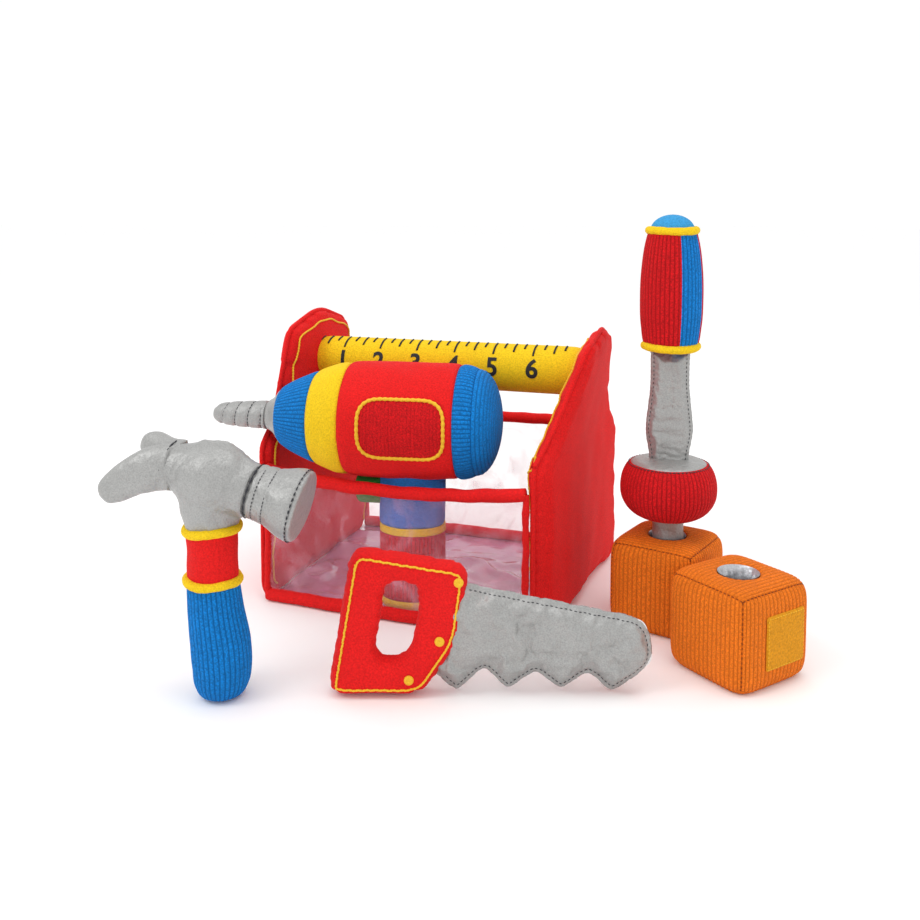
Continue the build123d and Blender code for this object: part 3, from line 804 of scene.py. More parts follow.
def floor_sheet():
    rows = np.linspace(0, 1, 100)[:, None, None]
    front, back = (even(rim_line(side, roll_radius), 120) for side in (-1, 1))
    sheet = (1 - rows) * front[None] + rows * back[None]
    sheet[..., 2] = 0.4
    points = sheet.reshape(-1, 3)
    folds = 3.2 * creases(points[:, :2] * (1, 0.7), 60, 21) + 0.5 + 0.5 * waves(points[:, :2], 25, 9)
    grip = span("drill_grip_bands", DRILL)
    middle = DRILL.out([(grip[0] + grip[1]) / 2])[0]
    away = np.clip((np.linalg.norm(points[:, :2] - middle[:2], axis=1) - 24) / 16, 0, 1)
    held = np.clip(6 * rows * (1 - rows), 0, 1)[..., 0]
    sheet[..., 2] += (np.clip(folds, 0, 5) * away).reshape(sheet.shape[:2]) * held
    piece = make("floor_vinyl_sheet", grid(sheet, round_columns=False), "floor_vinyl", "toolbox",
                 stands_for=("floor_sheet",), slot="clear_vinyl")


def toolbox():
    for side in (-1, 1):
        end_pad(side)
    handle()
    walls()
    floor_sheet()


# ---------------------------------------------------------------- drill
def along(node, place):
    low, high = span(node, place)
    return low[0], high[0]


def barrel_radius(x):
    """Radius of the drill's body at x."""
    return np.interp(x, [-90.5, -87.5, -84, -81.4, -74, -66, -55, -44, -26, -8, 20, 32],
                     [9.4, 10.6, 13.8, 17.6, 21.9, 25.5, 29.8, 33.6, 35.2, 35.6, 35.4, 34.6])


def barrel_part(start, end, **how):
    stations = np.linspace(start, end, max(4, int((end - start) / 6)))
    return lathe(np.c_[stations, barrel_radius(stations)], axis="x", **how)


def drill():
    body = "drill"
    ring_start, ring_end = along("drill_chuck_ring", DRILL)
    band_end = along("drill_chuck_band", DRILL)[1]
    cap_start, cap_end = along("drill_rear_cap", DRILL)
    nose_start = along("drill_nose", DRILL)[0]
    nose = [(nose_start, 9.2), (nose_start + 3, 10.4), (ring_start - 2.6, 13.6), (ring_start, 17.4)]
    make("drill_nose_cone", lathe(nose, step=1.0, axis="x", uneven=0.15), "silver_satin", body, DRILL,
         ("drill_nose",))
    make("drill_ring", barrel_part(ring_start, ring_end, wales=True), "blue_corduroy", body, DRILL,
         ("drill_chuck_ring",))
    make("drill_band", barrel_part(ring_end, band_end, uneven=0.2), "yellow_velour", body, DRILL,
         ("drill_chuck_band",))
    make("drill_barrel", barrel_part(band_end, cap_start, uneven=0.3, seed=4), "red_velour", body,
         DRILL, ("drill_barrel_cover", "drill_stuffing"))
    shoulder = cap_start + 0.42 * (cap_end - cap_start)
    side = [(cap_start, 34.6), (cap_start + 4, 34.5), (shoulder - 3, 33.6), (shoulder, 32.2)]
    dome = [(shoulder + (cap_end - shoulder) * math.sin(t), 32.2 * math.cos(t))
            for t in np.linspace(0, 1.5708, 9)]
    dome[-1] = (cap_end, 0.3)
    cap = [lathe(side, step=1.0, axis="x", wales=True, sewn=(True, False)),
           lathe(dome, axis="x", hoops=True, sewn=(False, False), step=1.6)]
    make("drill_cap", join(cap), "blue_corduroy", body, DRILL, ("drill_rear_cap",))
    side_patches(body)
    drill_grip(body)


def side_patches(body):
    low, high = span("drill_side_patches", DRILL)
    middle, width = (low[0] + high[0]) / 2, high[0] - low[0]
    top = high[2]
    outline = rectangle((-width / 2, -top), (width / 2, top), 13, 0.8)
    panels, borders = [], []
    for side in (-1, 1):
        def on_barrel(flat, lift, side=side):
            x = middle + flat[:, 0]
            reach = barrel_radius(x) + lift
            angle = flat[:, 1] / 35.0
            return np.stack([x, side * reach * np.cos(angle), 1.0 + reach * np.sin(angle)], 1)
        columns = int(width / WALE) * STEPS_PER_WALE
        across, up = np.meshgrid(np.linspace(-0.5, 0.5, columns), np.linspace(-1, 1, 46))
        squeeze_x = width / 2 * (1 - 0.12 * np.clip(np.abs(up) - 0.72, 0, 1) / 0.28)
        squeeze_z = top * (1 - 0.06 * np.clip(np.abs(across) * 2 - 0.8, 0, 1) / 0.2)
        flat = np.stack([2 * across * squeeze_x, up * squeeze_z], -1).reshape(-1, 2)
        height = wale_height(flat[:, 0] / 2.2)
        points = on_barrel(flat, 0.35 + 0.3 * height).reshape(*across.shape, 3)
        mesh = grid(points, round_columns=False)
        # The wale mask is raised here, so the painted shade in the patches' grooves is lighter.
        panels.append((mesh[0], mesh[1], 0.45 + 0.55 * height))
        borders.append(chain(on_barrel(outline, 0.75), 1.05, (0, 1, 0)))
    make("drill_patches", join(panels), "red_corduroy", body, DRILL, ("drill_side_patches",))
    make("drill_patch_borders", join(borders), "yellow_thread", body, DRILL)


def drill_grip(body):
    low, high = span("drill_grip_lower", DRILL)
    middle = (low + high) / 2
    radii = (high - low)[:2] / 2
    oval = (1.0, radii[1] / radii[0])
    floor = span("drill_grip_bands", DRILL)[0][2]
    top = -26.0  # inside the barrel

    def part(start, end, **how):
        rise = np.linspace(start, end, 5)
        mesh = lathe(np.c_[rise, np.full(5, radii[0])], oval=oval, **how)
        return mesh[0] + np.array([middle[0], middle[1], 0]), mesh[1], mesh[2]

    make("drill_grip_cuff", part(low[2], high[2], wales=True), "red_corduroy", body, DRILL,
         ("drill_grip_lower",))
    sole = [(floor, 2), (floor + 0.1, radii[0] - 5), (floor + 1.6, radii[0] - 1.2),
            (floor + 4, radii[0]), (low[2], radii[0])]
    base = lathe(sole, step=1.0, oval=oval, sewn=(False, True))
    base = (base[0] + np.array([middle[0], middle[1], 0]), base[1], base[2])
    band = part(high[2], high[2] + 4.5, step=1.0, sewn=(False, False))
    make("drill_grip_rings", join([base, band]), "yellow_velour", body, DRILL, ("drill_grip_bands",))
    make("drill_grip_top", part(high[2] + 4.5, top, uneven=0.5, seed=8), "blue_velour", body, DRILL,
         ("drill_grip_upper",))
    low, high = span("drill_trigger", DRILL)
    outline = rectangle((low[0], low[2]), (high[0] + 3, high[2]), 6, 1.2)
    half = (high[1] - low[1]) / 2
    lever = Pad(outline, lambda _, gaps: half * rise(gaps / 5), spacing=1.6)
    shell = warped(lever.mesh(), lambda p: np.stack([p[:, 0], p[:, 2] + middle[1], p[:, 1]], 1))
    make("drill_lever", shell, "green_velour", body, DRILL, ("drill_trigger",))


def drill_bit():
    start, end = along("drill_bit", DRILL)
    stations = [(start, 0.2), (start + 0.5, 3.0), (start + 3.5, 5.6), (start + 12, 7.5),
                (start + 24, 8.4), (end, 9.0)]
    mesh = lathe(stations, step=0.8, axis="x", sewn=(False, False))
    points = mesh[0].copy()
    reach = np.linalg.norm(points[:, 1:], axis=1)
    turn = np.arctan2(points[:, 2], points[:, 1])
    pitch = 8.5
    phase = ((points[:, 0] - start) / pitch + turn / (2 * math.pi)) % 1.0
    dip = np.exp(-((phase - 0.5) / 0.11) ** 2) * np.clip(reach / 5, 0, 1)
    points[:, 1:] *= (1 - 0.75 * dip / np.maximum(reach, 1))[:, None]
    make("drill_bit_cover", (points, mesh[1], None), "silver_satin", "drill_bit", DRILL, ("drill_bit",))
    t = np.linspace(0.35, (end - start) / pitch - 0.2, 260)
    x = start + t * pitch
    radius = np.interp(x, [s[0] for s in stations], [s[1] for s in stations]) - 0.45
    angle = 2 * math.pi * (0.5 - t)
    path = np.stack([x, radius * np.cos(angle), radius * np.sin(angle)], 1)
    make("drill_bit_stitch", dashes(path, (1, 0, 0), 0.25, 2.2, 0.6), "dark_thread", "drill_bit", DRILL)


def pull_cord():
    """The cord stretches out of the nose with the bit when it is pulled."""
    low, high = span("pull_cord", DRILL)
    radius = (high[2] - low[2]) / 2
    x = np.linspace(high[0], along("drill_bit", DRILL)[1] - 3, 240)
    path = np.stack([x, 0 * x, 0 * x], 1)
    strands = []
    for k in range(3):
        turn = 2 * math.pi * (x / 4.0 + k / 3)
        offset = np.stack([0 * x, np.cos(turn), np.sin(turn)], 1) * radius * 0.5
        strands.append(tube(path + offset, radius * 0.5, (0, 0, 1), 8))
    cord = make("braided_cord", join(strands), "white_cord", None, DRILL, slot="white_cord")
    ends = DRILL.out([(along("drill_nose", DRILL)[0] + 8, 0, 0), (x[-1] + 3, 0, 0)]) / METRE
    tuple(ends[0])
    tuple(ends[1])
    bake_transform(cord)
    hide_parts("pull_cord")


# ---------------------------------------------------------------- hammer
head_middle, head_droop = (-4.0, 112.0), 15.0


def tilted(points):
    """From along the hammer's head to the hammer's own frame."""
    droop = math.radians(head_droop)
    x, y, z = points[:, 0], points[:, 1], points[:, 2]
    return np.stack([head_middle[0] + x * math.cos(droop) + z * math.sin(droop), y,
                     head_middle[1] - x * math.sin(droop) + z * math.cos(droop)], 1)


def handle_lean(up):
    """Sideways bend of the hammer's handle at that height."""
    x = np.interp(up, [0, 16, 29, 45, 60, 110], [0.3, 0.8, 0.0, -2.2, -3.4, -3.2])
    return np.stack([x, 0 * x], -1)


def claw(stations, seed):
    """A flat curved prong through (x, y, z, half height, half width) stations."""
    line = smooth(stations, 0.9)
    turn = np.linspace(0, 2 * math.pi, 56, endpoint=False)
    tall = np.sign(np.sin(turn)) * np.abs(np.sin(turn)) ** 0.8
    wide = np.sign(np.cos(turn)) * np.abs(np.cos(turn)) ** 0.9
    ahead = unit(np.gradient(line[:, [0, 2]], axis=0))
    up = np.stack([ahead[:, 1], np.zeros(len(line)), -ahead[:, 0]], 1)
    points = line[:, None, :3] + up[:, None] * (line[:, 3, None] * tall)[..., None]
    points[..., 1] += line[:, 4, None] * wide
    points = points + 0.35 * waves(points.reshape(-1, 3), 9, seed).reshape(*points.shape[:2], 1)
    return capped(grid(points), len(line), len(turn))


def remeshed(mesh, voxel, rounds):
    """One skin round joined closed shapes, softened."""
    data = bpy.data.meshes.new("mould")
    data.from_pydata(mesh[0].tolist(), [], mesh[1])
    shape = bmesh.new()
    shape.from_mesh(data)
    bmesh.ops.recalc_face_normals(shape, faces=shape.faces)
    shape.to_mesh(data)
    shape.free()
    body = bpy.data.objects.new("mould", data)
    bpy.context.scene.collection.objects.link(body)
    skin = body.modifiers.new("skin", "REMESH")
    skin.mode, skin.voxel_size = "VOXEL", voxel
    soften = body.modifiers.new("soften", "SMOOTH")
    soften.factor, soften.iterations = 0.5, rounds
    done = body.evaluated_get(bpy.context.evaluated_depsgraph_get()).data
    points = np.array([v.co for v in done.vertices])
    faces = [list(face.vertices) for face in done.polygons]
    bpy.data.objects.remove(body)
    return points, faces, None


def ring_path(centre, radius, count=90):
    """A circle about the X axis."""
    turn = np.linspace(0, 2 * math.pi, count, endpoint=False)
    return np.stack([np.full(count, centre), radius * np.cos(turn), radius * np.sin(turn)], 1)


def hammer():
    body = "hammer"
    grip_top = span("hammer_grip_cover", HAMMER)[1][2]
    collar_low, collar_high = span("hammer_collar", HAMMER)
    grip = [(0.2, 1.0), (0.3, 6.5), (2.2, 10.8), (7, 13.4), (16, 14.7), (29, 14.9), (44, 13.9),
            (grip_top, 12.9)]
    make("hammer_grip", lathe(grip, wales=True, sewn=(False, True), bend=handle_lean), "blue_corduroy",
         body, HAMMER, ("hammer_grip_cover",))
    collar = [(collar_low[2], 12.6), (collar_low[2] + 6, 12.5), (collar_high[2] - 6, 12.6),
              (collar_high[2] + 1, 12.9)]
    make("hammer_sleeve", lathe(collar, bend=handle_lean, uneven=0.3), "red_velour", body, HAMMER,
         ("hammer_collar", "hammer_stuffing"))
    rings = []
    for level, tip in ((collar_low[2], -0.6), (collar_high[2], 1.0)):
        turn = np.linspace(0, 2 * math.pi, 80, endpoint=False)
        shift = handle_lean(np.array([level]))[0][0]
        wave = 0.35 * np.sin(3 * turn + level) + tip * np.cos(turn) * 0.6
        path = np.stack([shift + 12.7 * np.cos(turn), 12.7 * np.sin(turn), level + wave], 1)
        rings.append(piping(path, 2.35, (0, 0, 1)))
    make("hammer_rope_rings", join(rings), "yellow_velour", body, HAMMER, ("hammer_rings",))
    hammer_head(body)


def hammer_head(body):
    bulb = lathe([(-22, 11.0), (-15, 12.6), (-6, 16.6), (2, 18.6), (10, 17.4), (17, 14.6), (24, 13.4)],
                 axis="x", sewn=(False, False))
    bulb = (tilted(bulb[0]), bulb[1], bulb[2])
    trunk = lathe([(86.8, 13.0), (92, 14.2), (99, 15.0), (110, 13.0)], sewn=(False, False),
                  bend=handle_lean)
    points, faces, _ = remeshed(join([bulb, trunk]), 1.5, 9)
    outward = unit(points - np.array([-4.0, 0, 108]))
    folds = 0.4 * waves(points, 17, 31) + 0.5 * creases(points, 24, 5) + 0.35 * creases(points, 11, 7)
    points = points + folds[:, None] * outward
    make("hammer_bulb", (points, faces, None), "silver_satin", body, HAMMER, ("hammer_head_cover",))
    neck = lathe([(24, 13.6), (28, 13.7), (31, 14.0), (34.5, 14.6), (42, 17.2), (48, 18.4)], step=0.9,
                 axis="x", uneven=0.5, seed=12)
    across = neck[0][:, 0]
    dip = sum(0.55 * np.exp(-((across - row) / 0.7) ** 2) for row in (28.0, 33.5))
    reach = np.maximum(np.linalg.norm(neck[0][:, 1:], axis=1), 1)
    neck[0][:, 1:] *= (1 - dip / reach)[:, None]
    make("hammer_neck", (tilted(neck[0]), neck[1], None), "silver_satin", body, HAMMER,
         ("hammer_neck_cover",))
    disc = lathe([(47.6, 18.4), (49.4, 17.6), (50.4, 12), (50.7, 0.3)], step=1.0, axis="x",
                 sewn=(True, False), uneven=0.2)
    make("hammer_disc", (tilted(disc[0]), disc[1], None), "silver_satin", body, HAMMER,
         ("hammer_face",))
    front = [(-21, -2.0, 117.0, 11.6, 9.6), (-30, -4.5, 116.6, 11.4, 8.6), (-40, -7.0, 113.0, 9.8, 7.0),
             (-48, -8.6, 108.4, 8.4, 5.6), (-54.5, -9.2, 104.2, 6.2, 4.2), (-57.6, -9.4, 102.4, 1.2, 1.0)]
    rear = [(-21, 2.0, 118.5, 10.6, 9.0), (-29, 5.0, 121.0, 9.6, 7.8), (-37, 9.0, 124.0, 7.6, 6.0),
            (-43, 11.0, 126.0, 5.2, 4.0), (-46, 12.0, 127.0, 1.0, 0.8)]
    claws = remeshed(join([claw(front, 3), claw(rear, 4)]), 1.1, 4)
    make("hammer_claw_pair", claws, "silver_satin", body, HAMMER, ("hammer_claws",))
    rows = []
    for station, radius, thread, dash, gap in ((28.0, 13.4, 0.22, 1.6, 0.8), (33.5, 14.0, 0.22, 1.6, 0.8),
                                               (24.1, 13.4, 0.45, 5.0, 0.2), (47.9, 18.2, 0.40, 2.4, 0.6),
                                               (-21.6, 11.9, 0.45, 5.0, 0.2)):
        path = tilted(ring_path(station, radius))
        rows.append(dashes(path, (1, 0, 0.2), thread, dash, gap, closed=True))
    make("hammer_stitches", join(rows), "dark_thread", body, HAMMER)


# ---------------------------------------------------------------- saw
def saw():
    body = "saw"

    def warp(points):
        return np.stack([points[:, 0], points[:, 2], points[:, 1]], 1)

    corners = [(-67.6, 0.5), (-18.0, 0.5), (0.5, 28.5), (5.8, 67.5), (-54.5, 77.5), (-59.0, 51.0)]
    outline = rounded(corners, (9, 9, 9, 9, 10, 20), 2.0)
    slot = rounded([(-20.8, 58), (-38.2, 58), (-38.2, 44), (-43.2, 20), (-26.0, 20), (-20.8, 44)],
                   (8, 8, 8, 8, 8, 8), 1.6)[::-1]
    half = (span("saw_handle_foam", SAW)[1][1]) + 1.4

    def thick(_, gaps):
        side = (1 - (1 - np.clip(gaps / 3.2, 0, 1)) ** 3) ** 0.5
        return half * side * (1 - 0.06 * np.exp(-(gaps - 4.4) ** 2))

    grip = Pad(outline, thick, 2.4, holes=[slot]).swell(1.0, slack=0.01, sewn=2.0, cap=1.0)
    make("saw_handle", warped(grip.mesh(), warp), "red_velour", body, SAW,
         ("saw_handle_front", "saw_handle_back", "saw_handle_foam"))
    line = inset(outline, 4.4)
    stitches, dots = [], []
    for side in (-1, 1):
        path = grip.lay(resample(line, 1.2, closed=True), side, 0.25)
        path[:, :2] += 0.18 * np.sin(np.arange(len(path)) * 1.7)[:, None]
        stitches.append(chain(path, 0.55, (0, 0, 1)))
        for spot in ((-0.5, 60.0), (-10.0, 30.0), (-25.4, 10.0)):
            base = grip.lay([spot], side, 0.0)[0]
            profile = [(0.0, 2.5), (0.5, 2.4), (0.9, 1.9), (1.0, 1.2), (0.7, 0.8), (0.65, 0.05)]
            dot = lathe(profile, step=0.25, sewn=(False, False), straight=True)
            raised = dot[0] * np.array([1, 1, side])
            dots.append((raised + base, dot[1], None))
    make("saw_topstitch", warped(join(stitches), warp), "yellow_thread", body, SAW)
    make("saw_dots", warped(join(dots), warp), "yellow_thread", body, SAW)

    top, toe = [(-9.0, 60.1), (95.0, 39.0)], (99.5, 16.0)
    teeth = [(76.7, 0.3), (65.0, 11.0), (51.3, 1.6), (38.6, 11.5), (24.1, 1.6), (12.4, 13.5),
             (-1.5, 0.6), (-16, 14)]
    blade_corners = [*top, toe, *teeth]
    radii = [1, 10, 10] + [3.2, 2.5] * 3 + [3.2, 1]
    edge = rounded(blade_corners, radii, 1.9)

    def blade_thick(places, gaps):
        flange = 0.9 * np.clip(gaps / 1.0, 0, 1) ** 0.5
        swell = 3.3 * rise((gaps - 3.0) / 6.5)
        ripple = 0.7 * waves(places * (1, 2.2), 20, 6) + 1.0 * creases(places * (1.6, 0.8), 34, 17)
        pucker = creases(places * (2.4, 0.7), 15, 5)
        return flange + swell * (1 + 0.28 * ripple + 0.22 * pucker)

    blade = Pad(edge, blade_thick, 1.9).swell(2.2, slack=0.06, sewn=3.2, cap=1.6)
    make("saw_blade", warped(blade.mesh(), warp), "silver_satin", body, SAW,
         ("saw_blade_front", "saw_blade_back"))
    seam = inset(edge, 2.9)
    seam = seam[seam[:, 0] > np.interp(seam[:, 1], [0, 28.5, 67.5], [-16.0, 2.0, 6.0])]
    order = np.argmax(np.linalg.norm(np.diff(seam, axis=0, append=seam[:1]), axis=1)) + 1
    seam = np.roll(seam, -order, 0)
    rows = [dashes(blade.lay(resample(seam, 0.8), side, 0.12), (0, 0, 1), 0.27, 1.8, 0.9)
            for side in (-1, 1)]
    make("saw_stitches", warped(join(rows), warp), "dark_thread", body, SAW)


# ---------------------------------------------------------------- blocks
block_size = high_of("block_1_cover")[2]
lining_low, lining_high = span("block_2_hole_lining", BLOCK_2)
hole_radius = (lining_high[0] - lining_low[0]) / 2 - 1.2
puff = 6.4  # the power of the cube's rounding
stuffed = 1.5  # how far a block's faces stand out


def cushion(points):
    """Points on a cube of half size 1, moved out to a stuffed cube that fills the CAD one."""
    size = (np.abs(points) ** puff).sum(1) ** (1 / puff)
    return points / size[:, None] * (block_size / 2 + stuffed)


def block_face(flat, wale_phase, turn):
    """One face of a block: flat is (across, up) from -1 to 1, and turn takes it to its side."""
    cube = np.c_[flat, np.ones(len(flat))] @ turn.T
    points = cushion(cube)
    far = np.maximum(np.abs(flat[:, 0]), np.abs(flat[:, 1]))
    edge = (1 - far) * block_size / 2
    height = wale_height(wale_phase)
    ease = np.clip(edge / 1.2, 0, 1)
    dip = 0.8 * np.clip(1 - edge / 2.2, 0, 1) ** 2
    outward = unit(points * np.abs(points) ** 3)
    points = points - outward * (WALE_DEPTH * (1 - height) * ease + dip)[:, None]
    return points, height


def block(name, place, crumpled=1.0):
    wales = int(round(block_size / WALE))
    count = wales * STEPS_PER_WALE + 1
    sides, top_seams = [], []
    across, up = np.meshgrid(np.linspace(-1, 1, count), np.linspace(-1, 1, 44))
    flat = np.stack([across, up], -1).reshape(-1, 2)
    lift = np.array([0, 0, block_size / 2])
    for k in range(4):
        turn = math.pi / 2 * k
        out = np.array([math.cos(turn), math.sin(turn), 0])
        right = np.array([-math.sin(turn), math.cos(turn), 0])
        basis = np.stack([right, (0, 0, 1), out], 1)
        points, height = block_face(flat, (flat[:, 0] + 1) / 2 * wales, basis)
        mesh = grid((points + lift).reshape(44, count, 3), round_columns=False)
        sides.append((mesh[0], mesh[1], height))
        edge = np.stack([np.linspace(-1, 1, 60), np.ones(60), np.ones(60)], 1) @ basis.T
        top_seams.append(cushion(edge) + lift - 0.35 * unit(edge))
        corner = np.stack([np.ones(60), np.linspace(-1, 1, 60), np.ones(60)], 1) @ basis.T
        top_seams.append(cushion(corner) + lift - 0.35 * unit(corner))
    ring = np.arange(4 * (count - 1))
    k, t = ring // (count - 1), (ring % (count - 1)) / (count - 1) * 2 - 1
    one = np.ones(len(t))
    border = np.stack([np.choose(k, [one, -t, -one, t]), np.choose(k, [t, one, -t, -one])], 1)
    for top in (True, False):
        hole = (hole_radius + 0.9) / (block_size / 2) if top else 0.02
        circle = unit(border) * hole
        share = np.linspace(0, 1, 64 if top else 24)[:, None, None]
        flat_top = ((1 - share) * circle[None] + share * border[None]).reshape(-1, 2)
        basis = np.eye(3) if top else np.diag([1.0, 1.0, -1.0])
        points, height = block_face(flat_top, (flat_top[:, 1] + 1) / 2 * wales, basis)
        if top:
            rim = np.clip(1 - (np.linalg.norm(flat_top, axis=1) - hole) * block_size / 2 / 2.5, 0, 1)
            points[:, 2] -= 1.3 * rim**2
        else:
            points[:, 2] = np.maximum(points[:, 2], -block_size / 2 + 0.1)
        mesh = grid((points + lift).reshape(-1, len(border), 3))
        sides.append((mesh[0], mesh[1], height))
    shell = join(sides)
    shell[0][:, 2] = np.maximum(shell[0][:, 2], 0.1)
    make(f"{name}_cloth", shell, "orange_corduroy", name, place, (f"{name}_cover", f"{name}_foam"))
    seams = [dashes(line, (0.3, 0.5, 0.8), 0.24, 1.8, 0.9) for line in top_seams]
    make(f"{name}_seams", join(seams), "rust_thread", name, place)
    floor = span(f"{name}_hole_lining", place)[0][2] + 1.2
    count, rows = 120, 60
    turn = np.linspace(0, 2 * math.pi, count, endpoint=False)
    down = np.linspace(0, 1, rows)[:, None]
    rim = block_size + stuffed - 0.6
    z = rim - (rim - floor) * down
    crumple = 0.9 * np.sin(5 * turn + 3 * down) + 0.7 * np.sin(9 * turn - 5 * down + 1)
    crumple = crumple + 0.5 * np.sin(14 * turn + 2)
    fold = np.clip(down * 9 - 0.3, 0, 1) * (0.25 + 0.8 * np.abs(crumple)) * crumpled
    inner = hole_radius + 1.4 * np.exp(-down * 18) - fold
    well = np.stack([inner * np.cos(turn), inner * np.sin(turn), z + 0 * turn], -1)
    mesh = grid(well)
    points, faces = np.vstack([mesh[0], [0, 0, floor]]), list(mesh[1])
    last = (rows - 1) * count
    faces += [[len(points) - 1, last + k, last + (k + 1) % count] for k in range(count)]
    make(f"{name}_well", (points, faces, None), "silver_lining", name, place, (f"{name}_hole_lining",),
         slot="silver_satin")


def gold_patch():
    low, high = span("block_2_gold_patch", BLOCK_2)
    outline = rectangle((low[0], low[2]), (high[0], high[2]), 1.5, 1.2)
    pad = Pad(outline, lambda _, gaps: 0.75 * np.clip(gaps / 0.9, 0, 1) ** 0.5, 1.3)

    def bulge(x, z):
        half = block_size / 2
        share = np.clip(1 - np.abs(x / half) ** puff - np.abs(z / half - 1) ** puff, 0.02, 1)
        return -(block_size / 2 + stuffed) * share ** (1 / puff)

    def warp(points):
        x, z, out = points.T
        return np.stack([x, bulge(x, z) - out - 0.1, z], 1)

    make("block_2_patch", warped(pad.mesh(), warp), "gold_velour", "block_2", BLOCK_2,
         ("block_2_gold_patch",))
    line = np.c_[inset(outline, 1.4), np.full(len(outline), 0.75)]
    make("block_2_patch_stitch", warped(dashes(line, (0, 0, 1), 0.25, 1.6, 0.8, closed=True), warp),
         "yellow_thread", "block_2", BLOCK_2)


# ---------------------------------------------------------------- screw and screwdriver
def screw():
    low, high = span("screw_shank", DRIVER)
    radius = (high[0] - low[0]) / 2
    foot, rim = span("screw_head_side", DRIVER)[0][2], span("screw_head_side", DRIVER)[1][2]
    tall = rim - foot
    shank = [(low[2], radius - 0.6), (low[2] + 2, radius - 0.1), (block_size, radius - 0.1),
             (high[2] - 4, radius - 0.4), (high[2] + 2, radius + 0.3)]
    make("screw_stem", lathe(shank, step=1.0, sewn=(False, False), uneven=0.35, seed=6), "silver_satin",
         "screw", DRIVER, ("screw_shank",))
    side = [(foot - 0.5, 10.5), (foot + 1.2, 17.0), (foot + 5, 23.0), (foot + 12, 27.4),
            (foot + 0.6 * tall, 28.2), (foot + 0.85 * tall, 26.4), (rim, 23.6)]
    make("screw_head", lathe(side, step=1.1, wales=True, sewn=(False, True)), "red_corduroy", "screw",
         DRIVER, ("screw_head_side", "screw_stuffing"))
    top = [(rim - 0.4, 23.3), (rim + 1.2, 20.0), (rim + 2.4, 12.0), (rim + 2.6, 0.3)]
    make("screw_disc", lathe(top, step=1.0, sewn=(True, False), uneven=0.5, seed=9), "silver_satin",
         "screw", DRIVER, ("screw_head_top",))
    line = ring_path(0, 23.5)[:, [1, 2, 0]] + np.array([0, 0, rim - 0.3])
    make("screw_seam", dashes(line, (0, 0, 1), 0.3, 2.0, 0.5, closed=True), "dark_thread", "screw",
         DRIVER)


def screwdriver():
    body = "screwdriver"
    low, high = span("screwdriver_blade", DRIVER)
    foot, top = low[2], high[2]
    widths = [(foot, 23.0), (foot + 20, 24.0), (foot + 34, 28.2), (foot + 47, 26.0), (foot + 61, 23.4),
              (top, 23.4)]
    right = smooth([(w / 2, z) for z, w in widths], 1.6)
    outline = np.vstack([right, [(-x, z) for x, z in right[::-1]]])
    outline = resample(outline, 1.6, closed=True)

    def thick(_, gaps):
        return 1.0 * np.clip(gaps / 0.8, 0, 1) ** 0.5 + 2.9 * rise((gaps - 2.2) / 5)

    def warp(points):
        return np.stack([points[:, 0], points[:, 2], points[:, 1]], 1)

    blade = Pad(outline, thick, 1.8).swell(1.6, slack=0.03, sewn=2.4, cap=1.0)
    make("driver_blade", warped(blade.mesh(), warp), "silver_satin", body, DRIVER,
         ("screwdriver_blade",))
    rows = []
    for side in (-1, 1):
        for hand in (-1, 1):
            line = np.array([(hand * (x - 2.2), z) for x, z in right if z > foot + 14])
            rows.append(dashes(blade.lay(resample(line, 0.8), side, 0.1), (0, 0, 1), 0.26, 1.8, 0.8))
    make("driver_blade_stitch", warped(join(rows), warp), "dark_thread", body, DRIVER)
    start, end = span("screwdriver_grip_red", DRIVER)[0][2], span("screwdriver_grip_red", DRIVER)[1][2]
    tall = end - start
    stations = [(start - 0.6, 9.0), (start, 13.2), (start + 3, 15.2), (start + 0.2 * tall, 17.4),
                (start + 0.45 * tall, 18.2), (start + 0.7 * tall, 17.5), (start + 0.9 * tall, 15.6),
                (end + 1, 13.6)]
    points, faces, wale = lathe(stations, wales=True, sewn=(False, True))
    turn = np.degrees(np.arctan2(points[:, 1], points[:, 0]))
    blue_middle, blue_half = -42.8, 30.0
    away = np.abs((turn - blue_middle + 90) % 180 - 90)
    blue_point = away < blue_half
    seam_dip = np.exp(-((away - blue_half) / 2.6) ** 2)
    reach = np.maximum(np.linalg.norm(points[:, :2], axis=1), 1)
    points[:, :2] *= (1 - 0.6 * seam_dip / reach)[:, None]
    groups = {"red": [], "blue": []}
    for face in faces:
        groups["blue" if blue_point[face].sum() * 2 > len(face) else "red"].append(face)
    for colour, chosen in groups.items():
        used = np.unique(np.concatenate([np.array(face) for face in chosen]))
        index = np.full(len(points), -1)
        index[used] = np.arange(len(used))
        gore = (points[used], [[int(index[k]) for k in face] for face in chosen], wale[used])
        stands = (f"screwdriver_grip_{colour}",) + (("screwdriver_stuffing",) if colour == "red" else ())
        make(f"driver_grip_{colour}", gore, f"{colour}_corduroy", body, DRIVER, stands)
    ropes = []
    for level, radius in ((start + 2.4, 15.0), (end, 13.4)):
        turn = np.linspace(0, 2 * math.pi, 80, endpoint=False)
        wave = level + 0.4 * np.sin(2 * turn + 1)
        path = np.stack([radius * np.cos(turn), radius * np.sin(turn), wave], 1)
        ropes.append(piping(path, 2.4, (0, 0, 1)))
    make("driver_rope_rings", join(ropes), "yellow_velour", body, DRIVER, ("screwdriver_rings",))
    cap_top = span("screwdriver_cap", DRIVER)[1][2]
    cap = [(end, 12.8)] + [(end + (cap_top - end) * math.sin(t), 12.8 * math.cos(t))
                           for t in np.linspace(0.2, 1.55, 7)]
    make("driver_cap", lathe(cap, step=1.0, sewn=(False, False)), "sky_velour", body, DRIVER,
         ("screwdriver_cap",), slot="blue_velour")


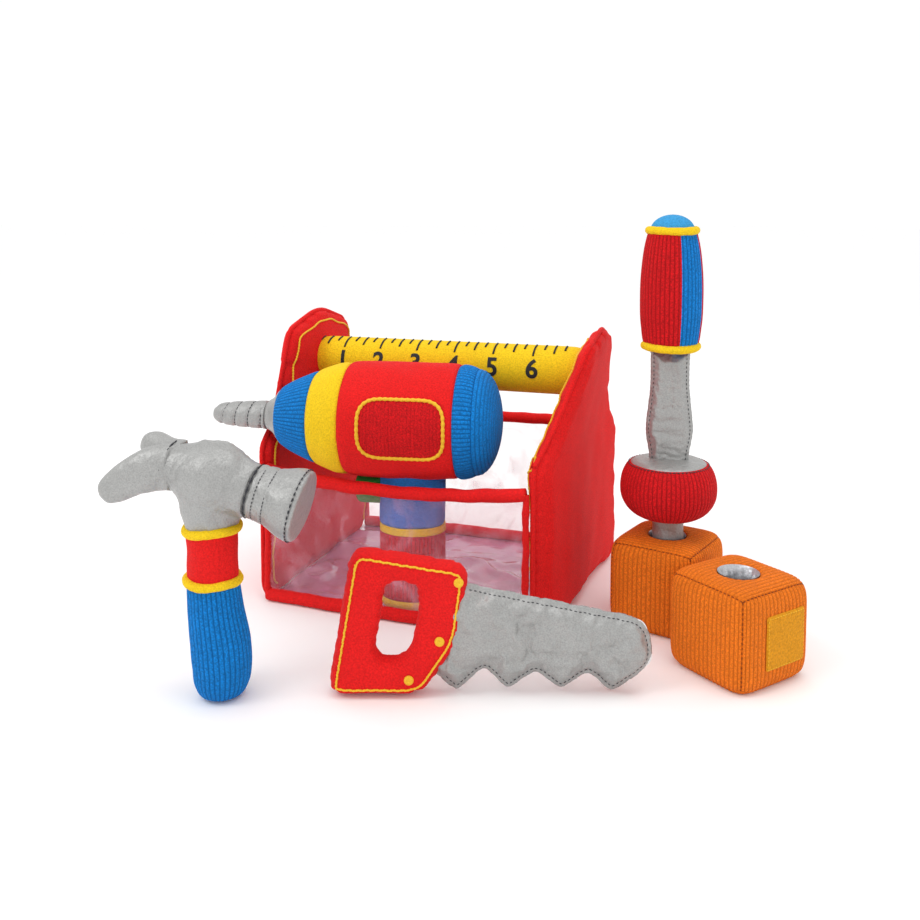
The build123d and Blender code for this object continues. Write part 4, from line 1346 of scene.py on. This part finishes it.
# ---------------------------------------------------------------- CAD nodes that stay
def dress_hidden_nodes():
    """Inner parts keep their CAD shape and get their material."""
    slots = {"saw_crinkle_sheet": "crinkle_film", "vibrator_case": "moulded_plastic",
             "vibrator_lid": "moulded_plastic", "vibrator_drum": "moulded_plastic",
             "vibrator_spring": "spring_steel", "vibrator_weight": "spring_steel"}
    for node, look in slots.items():
        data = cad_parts[node].data
        data.materials.clear()
        data.materials.append(LOOKS[look])


# ---------------------------------------------------------------- floor, light and camera
def studio():
    ground_size = 60.0
    shape = bmesh.new()
    bmesh.ops.create_grid(shape, x_segments=8, y_segments=8, size=ground_size)
    data = bpy.data.meshes.new("ground")
    shape.to_mesh(data)
    shape.free()
    ground = bpy.data.objects.new("ground", data)
    data.materials.append(plain("pale_floor", (1.0, 1.0, 1.0), 0.9, grain=60.0, relief=0.01, worn=0.97))
    bpy.context.scene.collection.objects.link(ground)
    world = bpy.data.worlds.new("studio")
    bpy.context.scene.world = world
    world.use_nodes = True
    world.node_tree.nodes["Background"].inputs["Color"].default_value = (1, 1, 1, 1)
    world.node_tree.nodes["Background"].inputs["Strength"].default_value = 1.02
    lamps = {"key": ((-0.6, -0.8, 1.1), 3.6, 0.5), "top": ((0.3, -0.1, 1.3), 2.6, 0.6)}
    for name, (spot, power, size) in lamps.items():
        light = bpy.data.lights.new(name, "AREA")
        light.energy, light.size = power, size
        lamp = bpy.data.objects.new(name, light)
        lamp.location = spot
        aim = Vector((0.05, -0.08, 0.08)) - lamp.location
        lamp.rotation_euler = aim.to_track_quat("-Z", "Y").to_euler()
        bpy.context.scene.collection.objects.link(lamp)
    camera = bpy.data.objects.new("camera", bpy.data.cameras.new("camera"))
    camera.location = (0.2209, -0.5869, 0.2382)
    camera.rotation_euler = (math.radians(90 - 4.35), 0, math.radians(19.52))
    camera.data.lens = 37.04
    camera.data.shift_y = -0.18
    camera.data.sensor_width = 36
    bpy.context.scene.collection.objects.link(camera)
    bpy.context.scene.camera = camera
    bpy.context.scene.view_settings.view_transform = "Standard"


toolbox()
drill()
drill_bit()
pull_cord()
hammer()
saw()
block("block_1", BLOCK_1, crumpled=0.1)
block("block_2", BLOCK_2)
gold_patch()
screw()
screwdriver()
dress_hidden_nodes()
studio()
